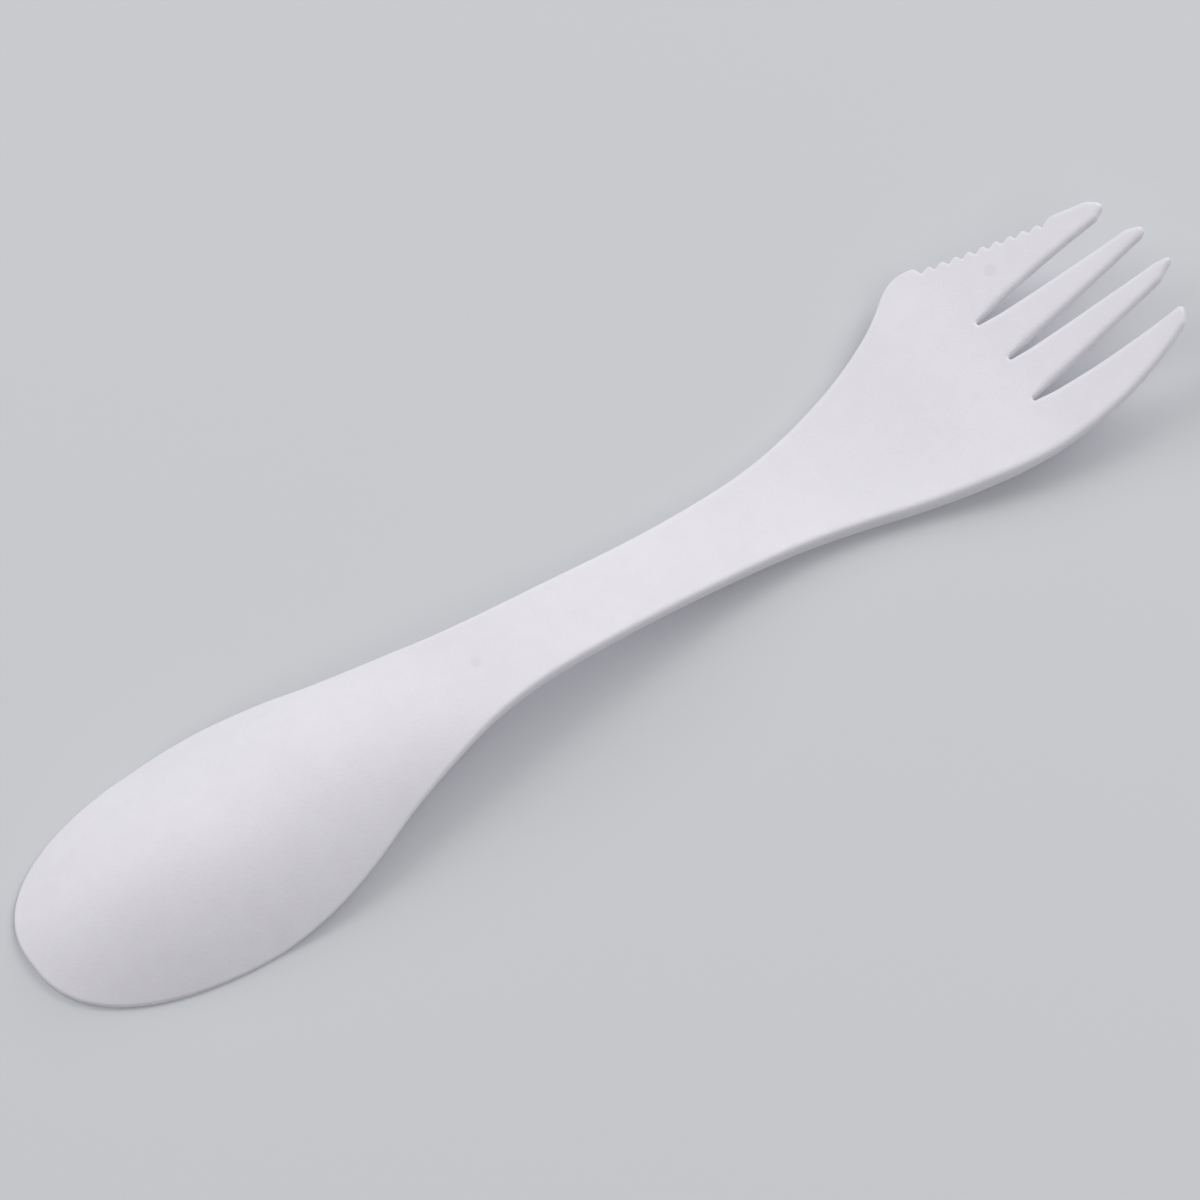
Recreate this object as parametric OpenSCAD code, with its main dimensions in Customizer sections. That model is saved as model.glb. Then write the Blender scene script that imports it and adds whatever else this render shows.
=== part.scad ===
// Spork: a spoon bowl at one end of an arched handle and a four-tined fork at the other, with teeth cut
// along the outer side of one fork tine. The real thing is a single plastic moulding, so each node here is
// a zone of that moulding, and neighbouring zones meet face to face on a shared flat cut.
// It lies as it rests on a table: the back of the bowl is up, the rim of the bowl and the belly of the
// fork touch z = 0, +X runs from the bowl to the fork and +Y is the side with the teeth.

/* [Spoon bowl] */
// Full width of the bowl
bowl_width = 31.6; // [26:0.1:36]
// Tip of the bowl to its widest place
bowl_reach = 26.5; // [22:0.5:32]
// Height of the back of the bowl at its widest place
bowl_height = 8.4; // [6:0.1:11]
// Thickness of the bowl's shell
shell = 1.7; // [1.2:0.1:2.2]
// Width of the flat rim that the bowl rests on
rim_width = 1.3; // [0.8:0.1:2]
// Height of the bowl's edge, its rounding included
rim_height = 0.85; // [0.7:0.05:1.4]
// Rounding along the top of the bowl's edge
rim_round = 0.4; // [0.2:0.05:0.8]

/* [Handle] */
// Thickness of the handle
wall = 1.5; // [1.3:0.1:2.2]
// Full width of the handle at its waist
waist_width = 11.25; // [9:0.05:14]
// Widest place of the bowl to the waist
neck_run = 63.5; // [56:0.5:72]
// Widest place of the bowl to the top of the arch
arch_run = 40; // [34:0.5:46]
// Height of the underside at the top of the arch
arch_height = 6.4; // [5:0.1:8]
// Height of the top where the bowl runs into the neck
neck_height = 8.95; // [7.5:0.05:11]
// Rounding along the handle's top edges
handle_round = 0.6; // [0.3:0.05:0.8]

/* [Fork] */
// Full width of the fork, were both sides like the plain one
fork_width = 28.85; // [25:0.05:32]
// Waist to the cut where the tines start
flare_run = 54.6; // [50:0.5:62]
// Waist to the belly that rests on the table
belly_run = 31; // [26:0.5:36]
// Thickness of the fork's palm
palm_wall = 2.05; // [1.5:0.05:2.6]
// Height of the tines' underside at their tips
tip_height = 9.6; // [6:0.1:12]
// How far the palm and tines dip between their sides
dish_depth = 0.6; // [0.2:0.1:1.4]
// Rounding along the fork's top edges
fork_round = 0.75; // [0.4:0.05:0.9]
// Reach of the shoulder ahead of the teeth, from the centre line
shoulder_reach = 18.15; // [16:0.05:20]

/* [Tines] */
// Cut where the tines start to the tips of the two inner tines
tine_run = 25.4; // [23:0.1:28]
// Thickness of a tine at its tip
tip_thickness = 1.25; // [1:0.05:1.8]
// How far the toothed tine's tip stays behind the inner ones
toothed_setback = 1.75; // [0.5:0.05:3]
// How far the plain outer tine's tip stays behind the inner ones
plain_setback = 2.75; // [0.5:0.05:4]
// Half the width of a slot at its round root
root_radius = 0.32; // [0.2:0.02:0.7]
// Bend radius of the plain tine's outer side
outer_bend = 48.5; // [38:0.5:60]
// Length that the slants at a tine's nose are shares of
nose_run = 1.8; // [1:0.1:2.4]
// Rounding of a nose's two corners
nose_round = 0.45; // [0.1:0.05:0.6]
// Rounding along the tines' top edges
tine_round = 0.65; // [0.3:0.05:0.8]

/* [Teeth] */
// Number of teeth between the notches
tooth_count = 9; // [5:1:12]
// First notch to last notch along the fork
toothed_run = 15.15; // [12:0.05:16]
// Depth of a notch below the tooth tops
tooth_depth = 0.63; // [0.3:0.01:0.8]
// Start cut to the first notch
first_notch = 1; // [0.7:0.05:1.3]
// Distance of the first notch from the centre line
notch_reach = 16.55; // [15.6:0.05:17]
// How far the row of notches closes in on the centre line
notch_drop = 4.95; // [4:0.05:5.5]
// Width of the zone that carries the teeth, below the notches
tooth_root_depth = 0.6; // [0.4:0.1:1]
// Rounding along the top edge of the shoulder and the teeth
teeth_round = 0.25; // [0.1:0.05:0.5]

/* [Edges] */
// Rounding along the bottom edges
foot_round = 0.2; // [0.1:0.05:0.4]

/* [Hidden] */
moulded_white = [0.89, 0.89, 0.92];

// Places along the length, from the tip of the bowl
bowl_half = bowl_width / 2;
waist_half = waist_width / 2;
fork_half = fork_width / 2;
arch_place = bowl_reach + arch_run;
waist_place = bowl_reach + neck_run;
belly_place = waist_place + belly_run;
tine_start = waist_place + flare_run;
tip_place = tine_start + tine_run;
bowl_end_share = 0.3;
bowl_end = bowl_reach + bowl_end_share * neck_run;
handle_end_share = 0.28;
handle_end = waist_place + handle_end_share * flare_run;
rim_end_share = 0.9;
rim_end = rim_end_share * bowl_reach;
widest_share = 0.135;
fork_widest = tine_start + widest_share * tine_run;
shoulder_share = 0.6;
shoulder_start = waist_place + shoulder_share * flare_run;
thinning_share = 0.8;
thinning_place = waist_place + thinning_share * flare_run;

// Shapes as shares of the sizes above, each as [share of the run, share of the height or width]
nose_fullness_share = 2.45;
back_fullness_share = 2.2;
neck_shares = [[0, 1], [0.12, 0.934], [0.23, 0.767], [0.34, 0.528], [0.465, 0.308], [0.59, 0.131],
    [0.72, 0.041], [0.84, 0.015], [1, 0]];
flare_shares = [[0, 0], [0.085, 0.006], [0.17, 0.026], [0.255, 0.057], [0.34, 0.111], [0.42, 0.199],
    [0.505, 0.325], [0.59, 0.482], [0.675, 0.635], [0.76, 0.779], [0.845, 0.907], [0.93, 0.983], [1, 1]];
arch_shares = [[0, 0], [0.12, 0.08], [0.235, 0.205], [0.35, 0.356], [0.465, 0.533], [0.58, 0.696],
    [0.7, 0.832], [0.815, 0.933], [0.935, 0.99], [1, 1]];
fall_shares = [[0, 1], [0.095, 0.978], [0.19, 0.904], [0.29, 0.793], [0.39, 0.667], [0.49, 0.538],
    [0.59, 0.406], [0.69, 0.272], [0.79, 0.143], [0.885, 0.05], [1, 0]];
climb_shares = [[0, 0], [0.08, 0.006], [0.18, 0.039], [0.28, 0.108], [0.38, 0.204], [0.485, 0.315],
    [0.585, 0.434], [0.69, 0.56], [0.795, 0.702], [0.9, 0.845], [1, 1], [1.1, 1.155]];
edge_shares = [[0, 0], [0.3, 0.27], [0.45, 0.53], [0.62, 0.87], [0.76, 1], [1, 1]];
dish_shares = [[0, 0], [0.11, 0.08], [0.18, 0.3], [0.25, 0.62], [0.31, 0.86], [0.38, 1], [0.5, 0.93],
    [0.62, 0.65], [0.75, 0.35], [0.88, 0.1], [1, 0]];
shoulder_shares = [[0, 0], [0.15, 0.015], [0.29, 0.075], [0.42, 0.173], [0.56, 0.34], [0.7, 0.645],
    [0.77, 0.86], [0.83, 0.985], [0.88, 1.03], [0.92, 1.035], [0.96, 1], [1, 0.94], [1.05, 0.85]];
// Noses of the tines from the toothed one on: run and cut of the outer slant, then of the inner one, as
// shares of the nose's length and of the tine's width
nose_shares = [[0.68, 0.35, 0.95, 0.31], [0.96, 0.38, 0.44, 0.17], [1.46, 0.45, 1, 0.16],
    [0.57, 0.44, 0.05, 0]];
// Slots from the toothed side: root as a share of the tines' length, then its centre and the slot's two
// sides at the tips as shares of the fork's half width, then how much those two sides bow
slot_shares = [[0.083, 0.444, 0.292, 0.548, 0.12, 1.62], [0.0895, -0.005, -0.134, 0.157, 0.01, -0.17],
    [0.043, -0.4615, -0.591, -0.27, 1.4, -0.14]];
// The fall from the shoulder to the first notch, as [share of its length, share of its height]
lead_shares = [[0, 1], [0.26, 0.94], [0.48, 0.845], [0.57, 0.775], [0.65, 0.68], [0.7, 0.56], [0.77, 0.36],
    [0.84, 0.18], [0.9, 0.05], [1, 0]];
// A tooth, as [share of the pitch, share of the depth]
tooth_shares = [[0, 0], [0.12, 0.12], [0.3, 0.5], [0.45, 0.76], [0.6, 0.93], [0.74, 1], [0.81, 0.9],
    [0.85, 0.68], [0.89, 0.4], [0.94, 0.12], [1, 0]];
// The rise after the last notch, as [share of a tooth pitch, share of the step height]
rise_shares = [[0, 0], [0.2, 0.22], [0.4, 0.43], [0.6, 0.61], [0.7, 0.68], [0.8, 0.74], [0.9, 0.79],
    [1, 0.82], [1.2, 0.86], [1.4, 0.9], [1.6, 0.945], [1.8, 0.985], [2, 1]];
step_height_share = 2.1;
// Largest share of a section's width that one rounding may take, and of a nose's end that its corner may take
fit_share = 0.4;
corner_fit_share = 0.45;
// How fast an edge's rounding grows from nothing, as a share of the way along the edge
growth_share = 2;
// Least half width of the hollow as a share of its rim, and the gap below which two points are one as a
// share of the bottom edges' rounding
least_share = 0.01;
same_point_share = 0.0005;

// How finely the surfaces are drawn
across = 18;
corner = 3;
tine_across = 6;
bowl_nose_steps = 16;
bowl_steps = 12;
neck_steps = 12;
arch_steps = 10;
handle_end_steps = 6;
palm_steps = 8;
shoulder_steps = 20;
tine_steps = 8;
border_steps = 4;
slant_steps = 4;
root_steps = [0.15, 0.5, 1, 2, 3];

// Smooth curve through stations, level at its two ends
function climb(t, i) = (t[i + 1][1] - t[i][1]) / (t[i + 1][0] - t[i][0]);
function slope(t, i) =
    i == 0 || i == len(t) - 1 ? 0 :
    let (before = t[i][0] - t[i - 1][0], after = t[i + 1][0] - t[i][0])
    (after * climb(t, i - 1) + before * climb(t, i)) / (before + after);
function curve(t, x) =
    let (
        i = max([for (k = [0:len(t) - 2]) if (k == 0 || t[k][0] <= x) k]),
        run = t[i + 1][0] - t[i][0],
        u = min(1, max(0, (x - t[i][0]) / run)),
        v = 1 - u
    )
    v * v * (1 + 2 * u) * t[i][1] + u * u * (1 + 2 * v) * t[i + 1][1]
        + run * u * v * (v * slope(t, i) - u * slope(t, i + 1));
function ease(a, b, u) = a + (b - a) * curve([[0, 0], [1, 1]], u);

// Plan: half width of the plain side, and of the hollow under the bowl
function nose_half(half, reach, x) =
    x <= 0 ? 0 : half * pow(1 - pow(1 - min(1, x / reach), 2), 1 / nose_fullness_share);
function half_width(x) =
    x < bowl_reach ? nose_half(bowl_half, bowl_reach, x) :
    x < waist_place ?
        waist_half + (bowl_half - waist_half) * curve(neck_shares, (x - bowl_reach) / neck_run) :
    x < fork_widest ?
        waist_half + (fork_half - waist_half)
            * curve(flare_shares, (x - waist_place) / (fork_widest - waist_place)) :
    fork_half - outer_bend + sqrt(pow(outer_bend, 2) - pow(x - fork_widest, 2));
function hollow_half(x) =
    x < bowl_reach ? nose_half(bowl_half - rim_width, bowl_reach - rim_width, x - rim_width) :
    half_width(x) - rim_width;
// Plan: the toothed side, which leaves the plain outline at the shoulder
shoulder_rise = shoulder_reach - half_width(tine_start);
function toothed_half(x) =
    half_width(x) + (x < shoulder_start ? 0 :
        shoulder_rise * curve(shoulder_shares, (x - shoulder_start) / (tine_start - shoulder_start)));

// Profile: dish of the fork, height of the underside's edges and of the top along the centre line
function dish(x) = dish_depth * curve(dish_shares, max(0, (x - waist_place) / (tip_place - waist_place)));
function plate(x) =
    x < rim_end ? 0 :
    x < arch_place ? arch_height * curve(arch_shares, (x - rim_end) / (arch_place - rim_end)) :
    x < belly_place ?
        arch_height * curve(fall_shares, (x - arch_place) / (belly_place - arch_place)) :
    tip_height * curve(climb_shares, (x - belly_place) / (tip_place - belly_place));
function foot(x) = plate(x) + dish(x);
function thickness(x) =
    x < bowl_reach ? shell :
    x < arch_place ? ease(shell, wall, (x - bowl_reach) / arch_run) :
    x < thinning_place ? ease(wall, palm_wall, (x - waist_place) / belly_run) :
    ease(palm_wall, tip_thickness, (x - thinning_place) / (fork_widest - thinning_place));
function back(x) =
    x < bowl_reach ?
        rim_height + (bowl_height - rim_height) * (1 - pow(1 - x / bowl_reach, back_fullness_share)) :
    x < bowl_end ? ease(bowl_height, neck_height, (x - bowl_reach) / (bowl_end - bowl_reach)) :
    x < arch_place ? ease(neck_height, arch_height + wall, (x - bowl_end) / (arch_place - bowl_end)) :
    plate(x) + thickness(x);
function edge_height(x) =
    x < bowl_reach ? rim_height :
    x < waist_place ? rim_height + (wall - rim_height) * curve(edge_shares, (x - bowl_reach) / neck_run) :
    thickness(x);
function crown(x) = back(x) - foot(x) - edge_height(x);
function hollow(x) =
    x < arch_place ? max(0, back(x) - thickness(x) - foot(x)) : -dish(x);
function edge_round(x) =
    x < bowl_reach ? rim_round :
    x < waist_place ? ease(rim_round, handle_round, (x - bowl_reach) / neck_run) :
    x < tine_start ? ease(handle_round, fork_round, (x - waist_place) / flare_run) :
    ease(fork_round, tine_round, (x - tine_start) / tine_run);
function toothed_round(x) =
    ease(edge_round(x), teeth_round, (x - shoulder_start) / (tine_start - shoulder_start));
// How far a rounding of radius r lowers the surface at a distance d from the edge
function lowering(d, r) = d >= r || r <= 0 ? 0 : r - sqrt(r * r - pow(r - max(0, d), 2));

// Surfaces: height of the underside and of the top at a place in plan
function under(x, y) =
    let (h = hollow(x), half = h > 0 ? max(hollow_half(x), least_share * rim_width) : half_width(x))
    foot(x) + h * (h > 0 ? max(0, 1 - pow(y / half, 2)) : 1 - pow(y / max(half, foot_round), 2));
function over(x, y) =
    let (half = max(half_width(x) - (crown(x) > 0 ? edge_round(x) : 0), foot_round))
    foot(x) + edge_height(x) - lowering(x, rim_round) + crown(x) * (1 - pow(y / half, 2));
function fall_angle(x, y) =
    let (half = max(half_width(x) - (crown(x) > 0 ? edge_round(x) : 0), foot_round))
    atan(2 * crown(x) * abs(y) / (half * half));

// Cross-section at x from side a to side b, as a lower and an upper row of points with as many points each.
// ra and rb are the roundings of the two top edges, fa and fb those of the bottom edges.
function low_corner(x, y, side, f) =
    [for (k = [0:corner]) let (q = 90 * k / corner)
        [x, y - side * f * (1 - cos(q)), under(x, y - side * f) + f * (1 - sin(q))]];
function high_corner(x, y, side, r, drop) =
    let (
        tilt = fall_angle(x, y - side * r),
        start = y - side * r * (1 - sin(tilt)),
        centre_z = over(x, start) - r * cos(tilt)
    )
    [for (k = [0:corner]) let (q = (90 - tilt) * k / corner)
        [x, y - side * r * (1 - cos(q)), centre_z + r * sin(q) - drop]];
function between(a, b, n) = [for (k = [1:n - 1]) a + (b - a) * k / n];
function backwards(list) = [for (k = [len(list) - 1:-1:0]) list[k]];
function low_row(x, a, b, fa, fb, n, inner) =
    concat(
        low_corner(x, a, -1, fa),
        [for (y = inner == undef ? between(a + fa, b - fb, n) : between(-inner * n / (n - 2),
            inner * n / (n - 2), n)) [x, y, under(x, y)]],
        backwards(low_corner(x, b, 1, fb))
    );
function high_row(x, a, b, ra, rb, n, drop) =
    let (
        left = high_corner(x, a, -1, ra, drop),
        right = high_corner(x, b, 1, rb, drop)
    )
    concat(
        left,
        [for (y = between(left[corner].y, right[corner].y, n)) [x, y, over(x, y) - drop]],
        backwards(right)
    );

// Solid through a list of cross-sections, each a [lower row, upper row]
function apart(p, q) = norm(p - q) > same_point_share * foot_round;
function triangle(pts, a, b, c) =
    apart(pts[a], pts[b]) && apart(pts[b], pts[c]) && apart(pts[a], pts[c]) ? [[a, b, c]] : [];
function panel(pts, a, b, c, d) = concat(triangle(pts, a, b, c), triangle(pts, a, c, d));
module loft(rows) {
    n = len(rows[0][0]);
    last = len(rows) - 1;
    pts = [for (r = rows) each concat(r[0], r[1])];
    // Index of point k of row h, 0 lower or 1 upper, at station s
    function at(s, h, k) = (2 * s + h) * n + k;
    skin = [for (s = [0:last - 1]) each concat(
        [for (k = [0:n - 2]) each
            panel(pts, at(s, 0, k), at(s + 1, 0, k), at(s + 1, 0, k + 1), at(s, 0, k + 1))],
        [for (k = [0:n - 2]) each
            panel(pts, at(s, 1, k), at(s, 1, k + 1), at(s + 1, 1, k + 1), at(s + 1, 1, k))],
        panel(pts, at(s, 0, 0), at(s, 1, 0), at(s + 1, 1, 0), at(s + 1, 0, 0)),
        panel(pts, at(s, 0, n - 1), at(s + 1, 0, n - 1), at(s + 1, 1, n - 1), at(s, 1, n - 1))
    )];
    ends = [for (k = [0:n - 2]) each concat(
        panel(pts, at(0, 0, k), at(0, 0, k + 1), at(0, 1, k + 1), at(0, 1, k)),
        panel(pts, at(last, 0, k), at(last, 1, k), at(last, 1, k + 1), at(last, 0, k + 1))
    )];
    polyhedron(points = pts, faces = concat(skin, ends));
}

// The whole width at x
function full_section(x) =
    let (
        a = -half_width(x),
        b = toothed_half(x),
        fit = fit_share * half_width(x),
        f = min(foot_round, fit)
    )
    [low_row(x, a, b, f, f, across, x < arch_place ? hollow_half(x) : undef),
        high_row(x, a, b, min(edge_round(x), fit), min(toothed_round(x), fit), across, 0)];
function steps(a, b, n) = [for (k = [0:n]) a + (b - a) * k / n];
module zone(stations) {
    loft([for (x = stations) full_section(x)]);
}

// Slots between the tines: root, centre, lower and upper side at the tips, bows of those two sides
slots = [for (s = slot_shares)
    [tine_start + s[0] * tine_run, s[1] * fork_half, s[2] * fork_half, s[3] * fork_half, s[4], s[5]]];
function slot_side(slot, x, side) =
    let (
        d = x - slot[0],
        u = max(0, (d - root_radius) / (tip_place - slot[0] - root_radius)),
        target = slot[side < 0 ? 2 : 3],
        bow = slot[side < 0 ? 4 : 5],
        start = slot[1] + side * root_radius
    )
    d <= 0 ? slot[1] :
    d < root_radius ? slot[1] + side * sqrt(pow(root_radius, 2) - pow(root_radius - d, 2)) :
    start + (target - start) * u * (1 + bow * (1 - u));

// Row of notches, and the toothed side of the fork beyond the start cut
pitch = toothed_run / tooth_count;
notch_place = tine_start + first_notch;
last_notch = notch_place + toothed_run;
notch_lean = notch_drop / toothed_run;
step_end = last_notch + pitch;
step_height = step_height_share * tooth_depth;
function notch_line(x) = notch_reach - notch_lean * (x - notch_place);
function tooth_share(x) =
    let (u = (x - notch_place) / pitch)
    lookup(u - floor(u), tooth_shares);
function tooth_side(x) =
    x < notch_place ?
        notch_reach
            + (toothed_half(tine_start) - notch_reach) * curve(lead_shares, (x - tine_start) / first_notch) :
    x < last_notch ? notch_line(x) + tooth_depth * tooth_share(x) :
    notch_line(x) + step_height * curve(rise_shares, (x - last_notch) / pitch);
// Inner border of the toothed zone: below the notches, then out to the end of the step
border_end = last_notch + pitch / 4;
function tooth_border(x) =
    x < border_end ? notch_line(x) - tooth_root_depth :
    let (u = (x - border_end) / (step_end - border_end))
    (1 - u) * (notch_line(border_end) - tooth_root_depth) + u * tooth_side(step_end);

// Nose of a tine: cut of one side at a distance d from its tip, and the stations there
function nose_cut(d, width, run_share, cut_share, other_share) =
    let (end_width = width * (1 - cut_share - other_share))
    width * cut_share * max(0, 1 - d / (run_share * nose_run))
        + lowering(d, min(nose_round, corner_fit_share * end_width));
function nose_start(tip, nose) = tip - max(nose[0], nose[2]) * nose_run;
function nose_stations(tip, nose) =
    concat(
        steps(nose_start(tip, nose), tip - nose_round, slant_steps),
        [for (k = [1:corner]) tip - nose_round * (1 - sin(90 * k / corner))]
    );

// Tine from side a to side b at x. ra and rb are the roundings of its top edges, fa and fb those of its
// bottom edges, and outward is +1 when its outer side is b and -1 when it is a.
function tine_section(x, a, b, ra, rb, fa, fb, tip, nose, outward) =
    let (
        outer_cut = nose_cut(tip - x, b - a, nose[0], nose[1], nose[3]),
        inner_cut = nose_cut(tip - x, b - a, nose[2], nose[3], nose[1]),
        low = a + (outward > 0 ? inner_cut : outer_cut),
        high = b - (outward > 0 ? outer_cut : inner_cut),
        fit = fit_share * (high - low),
        drop = lowering(tip - x, tine_round)
    )
    [low_row(x, low, high, min(fa, fit), min(fb, fit), tine_across),
        high_row(x, low, high, min(ra, fit), min(rb, fit), tine_across, drop)];
// Rounding of a slot's edge, which grows from nothing at its root
function slot_round(slot, x, full) = max(0, min(full, x - slot[0]));
function root_stations(slot) = [for (s = root_steps) slot[0] + s * root_radius];
function root_end(slot) = slot[0] + max(root_steps) * root_radius;

// Widest reach of each side, which centres the part on its origin
fork_half_low = max(bowl_half, fork_half);
shoulder_top = max([for (x = steps(shoulder_start, tine_start, shoulder_steps)) toothed_half(x)]);
module whole(part_color) {
    color(part_color)
        translate([-tip_place / 2, (fork_half_low - shoulder_top) / 2, 0])
            children();
}

module spoon_bowl() {
    nose = [for (k = [0:bowl_nose_steps]) bowl_reach * (1 - cos(90 * k / bowl_nose_steps))];
    whole(moulded_white)
        zone(concat(nose, between(bowl_reach, bowl_end, bowl_steps), [bowl_end]));
}

module neck() {
    whole(moulded_white)
        zone(steps(bowl_end, arch_place, neck_steps));
}

module handle() {
    whole(moulded_white)
        zone(concat(steps(arch_place, waist_place, arch_steps),
            between(waist_place, handle_end, handle_end_steps), [handle_end]));
}

module fork_palm() {
    whole(moulded_white)
        zone(concat(steps(handle_end, shoulder_start, palm_steps),
            between(shoulder_start, tine_start, shoulder_steps), [tine_start]));
}

module toothed_tine() {
    slot = slots[0];
    nose = nose_shares[0];
    tip = tip_place - toothed_setback;
    stations = concat([tine_start], root_stations(slot), between(root_end(slot), border_end, tine_steps),
        steps(border_end, step_end, border_steps), between(step_end, nose_start(tip, nose), border_steps),
        nose_stations(tip, nose));
    whole(moulded_white)
        loft([for (x = stations)
            let (free = max(0, min(tine_round, (x - step_end) * growth_share)))
            tine_section(x, slot_side(slot, x, 1), x < step_end ? tooth_border(x) : tooth_side(x),
                slot_round(slot, x, tine_round), free, slot_round(slot, x, foot_round),
                min(free, foot_round), tip, nose, 1)]);
}

module serrated_edge() {
    lead_stations = [for (t = lead_shares) tine_start + t[0] * first_notch];
    tooth_stations = [for (k = [0:tooth_count - 1]) each
        [for (i = [1:len(tooth_shares) - 1]) notch_place + (k + tooth_shares[i][0]) * pitch]];
    stations = concat(lead_stations, tooth_stations, between(last_notch, border_end, 2),
        steps(border_end, step_end, border_steps));
    whole(moulded_white)
        loft([for (x = stations)
            let (a = tooth_border(x), b = tooth_side(x), fit = fit_share * (b - a))
            [low_row(x, a, b, 0, min(foot_round, fit), tine_across),
                high_row(x, a, b, 0, min(teeth_round, fit), tine_across, 0)]]);
}

module inner_tine(lower, upper, nose, outward) {
    first = lower[0] < upper[0] ? lower : upper;
    later = lower[0] < upper[0] ? upper : lower;
    roots = concat(root_stations(first), [for (x = root_stations(later)) if (x > root_end(first)) x]);
    stations = concat([tine_start], roots, between(max(roots), nose_start(tip_place, nose), tine_steps),
        nose_stations(tip_place, nose));
    whole(moulded_white)
        loft([for (x = stations)
            tine_section(x, slot_side(lower, x, 1), slot_side(upper, x, -1),
                slot_round(lower, x, tine_round), slot_round(upper, x, tine_round),
                slot_round(lower, x, foot_round), slot_round(upper, x, foot_round),
                tip_place, nose, outward)]);
}

module inner_tine_toothed_side() {
    inner_tine(slots[1], slots[0], nose_shares[1], 1);
}

module inner_tine_plain_side() {
    inner_tine(slots[2], slots[1], nose_shares[2], -1);
}

module plain_outer_tine() {
    slot = slots[2];
    nose = nose_shares[3];
    tip = tip_place - plain_setback;
    stations = concat([tine_start], root_stations(slot),
        between(root_end(slot), nose_start(tip, nose), tine_steps + border_steps), nose_stations(tip, nose));
    whole(moulded_white)
        loft([for (x = stations)
            tine_section(x, -half_width(x), slot_side(slot, x, -1), edge_round(x),
                slot_round(slot, x, tine_round), foot_round, slot_round(slot, x, foot_round),
                tip, nose, -1)]);
}

spoon_bowl();
neck();
handle();
fork_palm();
toothed_tine();
serrated_edge();
inner_tine_toothed_side();
inner_tine_plain_side();
plain_outer_tine();
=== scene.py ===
"""Looks of a double-ended spork: its moulded white skin, a plain studio and the camera.

Forms are worked out in millimetres from the sizes that the part's solids have, x from the tip of the bowl
along the spork, y towards the side with the teeth and z up from the floor, and are moved into the row frame
at the end.
"""

import sys
import logging
import math
from dataclasses import dataclass, field
from enum import Enum
from functools import partial
from typing import Any, Callable

import bpy
import numpy as np
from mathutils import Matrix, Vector, geometry, kdtree


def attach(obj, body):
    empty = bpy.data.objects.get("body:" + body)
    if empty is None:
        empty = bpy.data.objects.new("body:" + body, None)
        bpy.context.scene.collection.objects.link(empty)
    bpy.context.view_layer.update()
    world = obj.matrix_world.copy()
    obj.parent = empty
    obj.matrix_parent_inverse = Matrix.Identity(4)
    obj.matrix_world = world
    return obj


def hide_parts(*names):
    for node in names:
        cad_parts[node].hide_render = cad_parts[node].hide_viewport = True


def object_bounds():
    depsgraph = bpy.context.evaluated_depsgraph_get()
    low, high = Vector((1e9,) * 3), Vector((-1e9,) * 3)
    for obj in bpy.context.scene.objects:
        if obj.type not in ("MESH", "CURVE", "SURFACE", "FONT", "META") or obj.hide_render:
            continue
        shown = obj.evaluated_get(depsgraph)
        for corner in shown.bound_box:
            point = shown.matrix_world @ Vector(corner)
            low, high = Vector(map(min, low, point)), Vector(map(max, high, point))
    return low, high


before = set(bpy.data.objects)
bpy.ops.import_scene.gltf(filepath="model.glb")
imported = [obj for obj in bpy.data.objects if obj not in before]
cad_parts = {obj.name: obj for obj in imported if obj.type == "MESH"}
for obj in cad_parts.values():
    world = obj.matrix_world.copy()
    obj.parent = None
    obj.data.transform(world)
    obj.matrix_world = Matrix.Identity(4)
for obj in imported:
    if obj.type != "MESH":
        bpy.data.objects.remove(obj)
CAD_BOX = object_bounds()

log = logging.getLogger("spork")

MM = 0.001
BODY = "root"
EDGE_ATTRIBUTE = "edge_distance"
MARK_ATTRIBUTE = "pin_mark"
# Points closer than this are one point, and TINY keeps a division away from zero
SAME_POINT = 1e-6
TINY = 1e-12

Line = Callable[[Any], np.ndarray]


class Side(Enum):
    """The two long sides of the spork."""

    PLAIN = -1
    TOOTHED = 1


class Zone(Enum):
    """The zones of the moulding in building order, each with the name of its solid."""

    BOWL = "spoon_bowl"
    NECK = "neck"
    HANDLE = "handle"
    PALM = "fork_palm"
    TOOTHED_TINE = "toothed_tine"
    TEETH = "serrated_edge"
    INNER_TOOTHED = "inner_tine_toothed_side"
    INNER_PLAIN = "inner_tine_plain_side"
    PLAIN_TINE = "plain_outer_tine"


@dataclass(frozen=True)
class Stations:
    """A smooth curve through given stations, level at its two ends."""

    points: tuple[tuple[float, float], ...]

    def at(self, x: Any) -> np.ndarray:
        """Height of the curve.

        Args:
            x: Places along the curve, one or many.

        Returns:
            The curve's values there, held level beyond its ends.
        """
        xs, ys = np.array(self.points).T
        gaps = np.diff(xs)
        climbs = np.diff(ys) / gaps
        slopes = np.zeros(len(xs))
        slopes[1:-1] = (gaps[1:] * climbs[:-1] + gaps[:-1] * climbs[1:]) / (gaps[1:] + gaps[:-1])
        i = np.clip(np.searchsorted(xs, x, side="right") - 1, 0, len(xs) - 2)
        u = np.clip((x - xs[i]) / gaps[i], 0, 1)
        v = 1 - u
        value = v * v * (1 + 2 * u) * ys[i] + u * u * (1 + 2 * v) * ys[i + 1]
        return value + gaps[i] * u * v * (v * slopes[i] - u * slopes[i + 1])


def ease(a: float, b: float, u: Any) -> np.ndarray:
    """Goes smoothly from a at u = 0 to b at u = 1."""
    u = np.clip(u, 0, 1)
    return a + (b - a) * u * u * (3 - 2 * u)


def share(x: Any, start: float, end: float) -> Any:
    """How much of the way from start to end lies behind x."""
    return (x - start) / (end - start)


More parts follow.
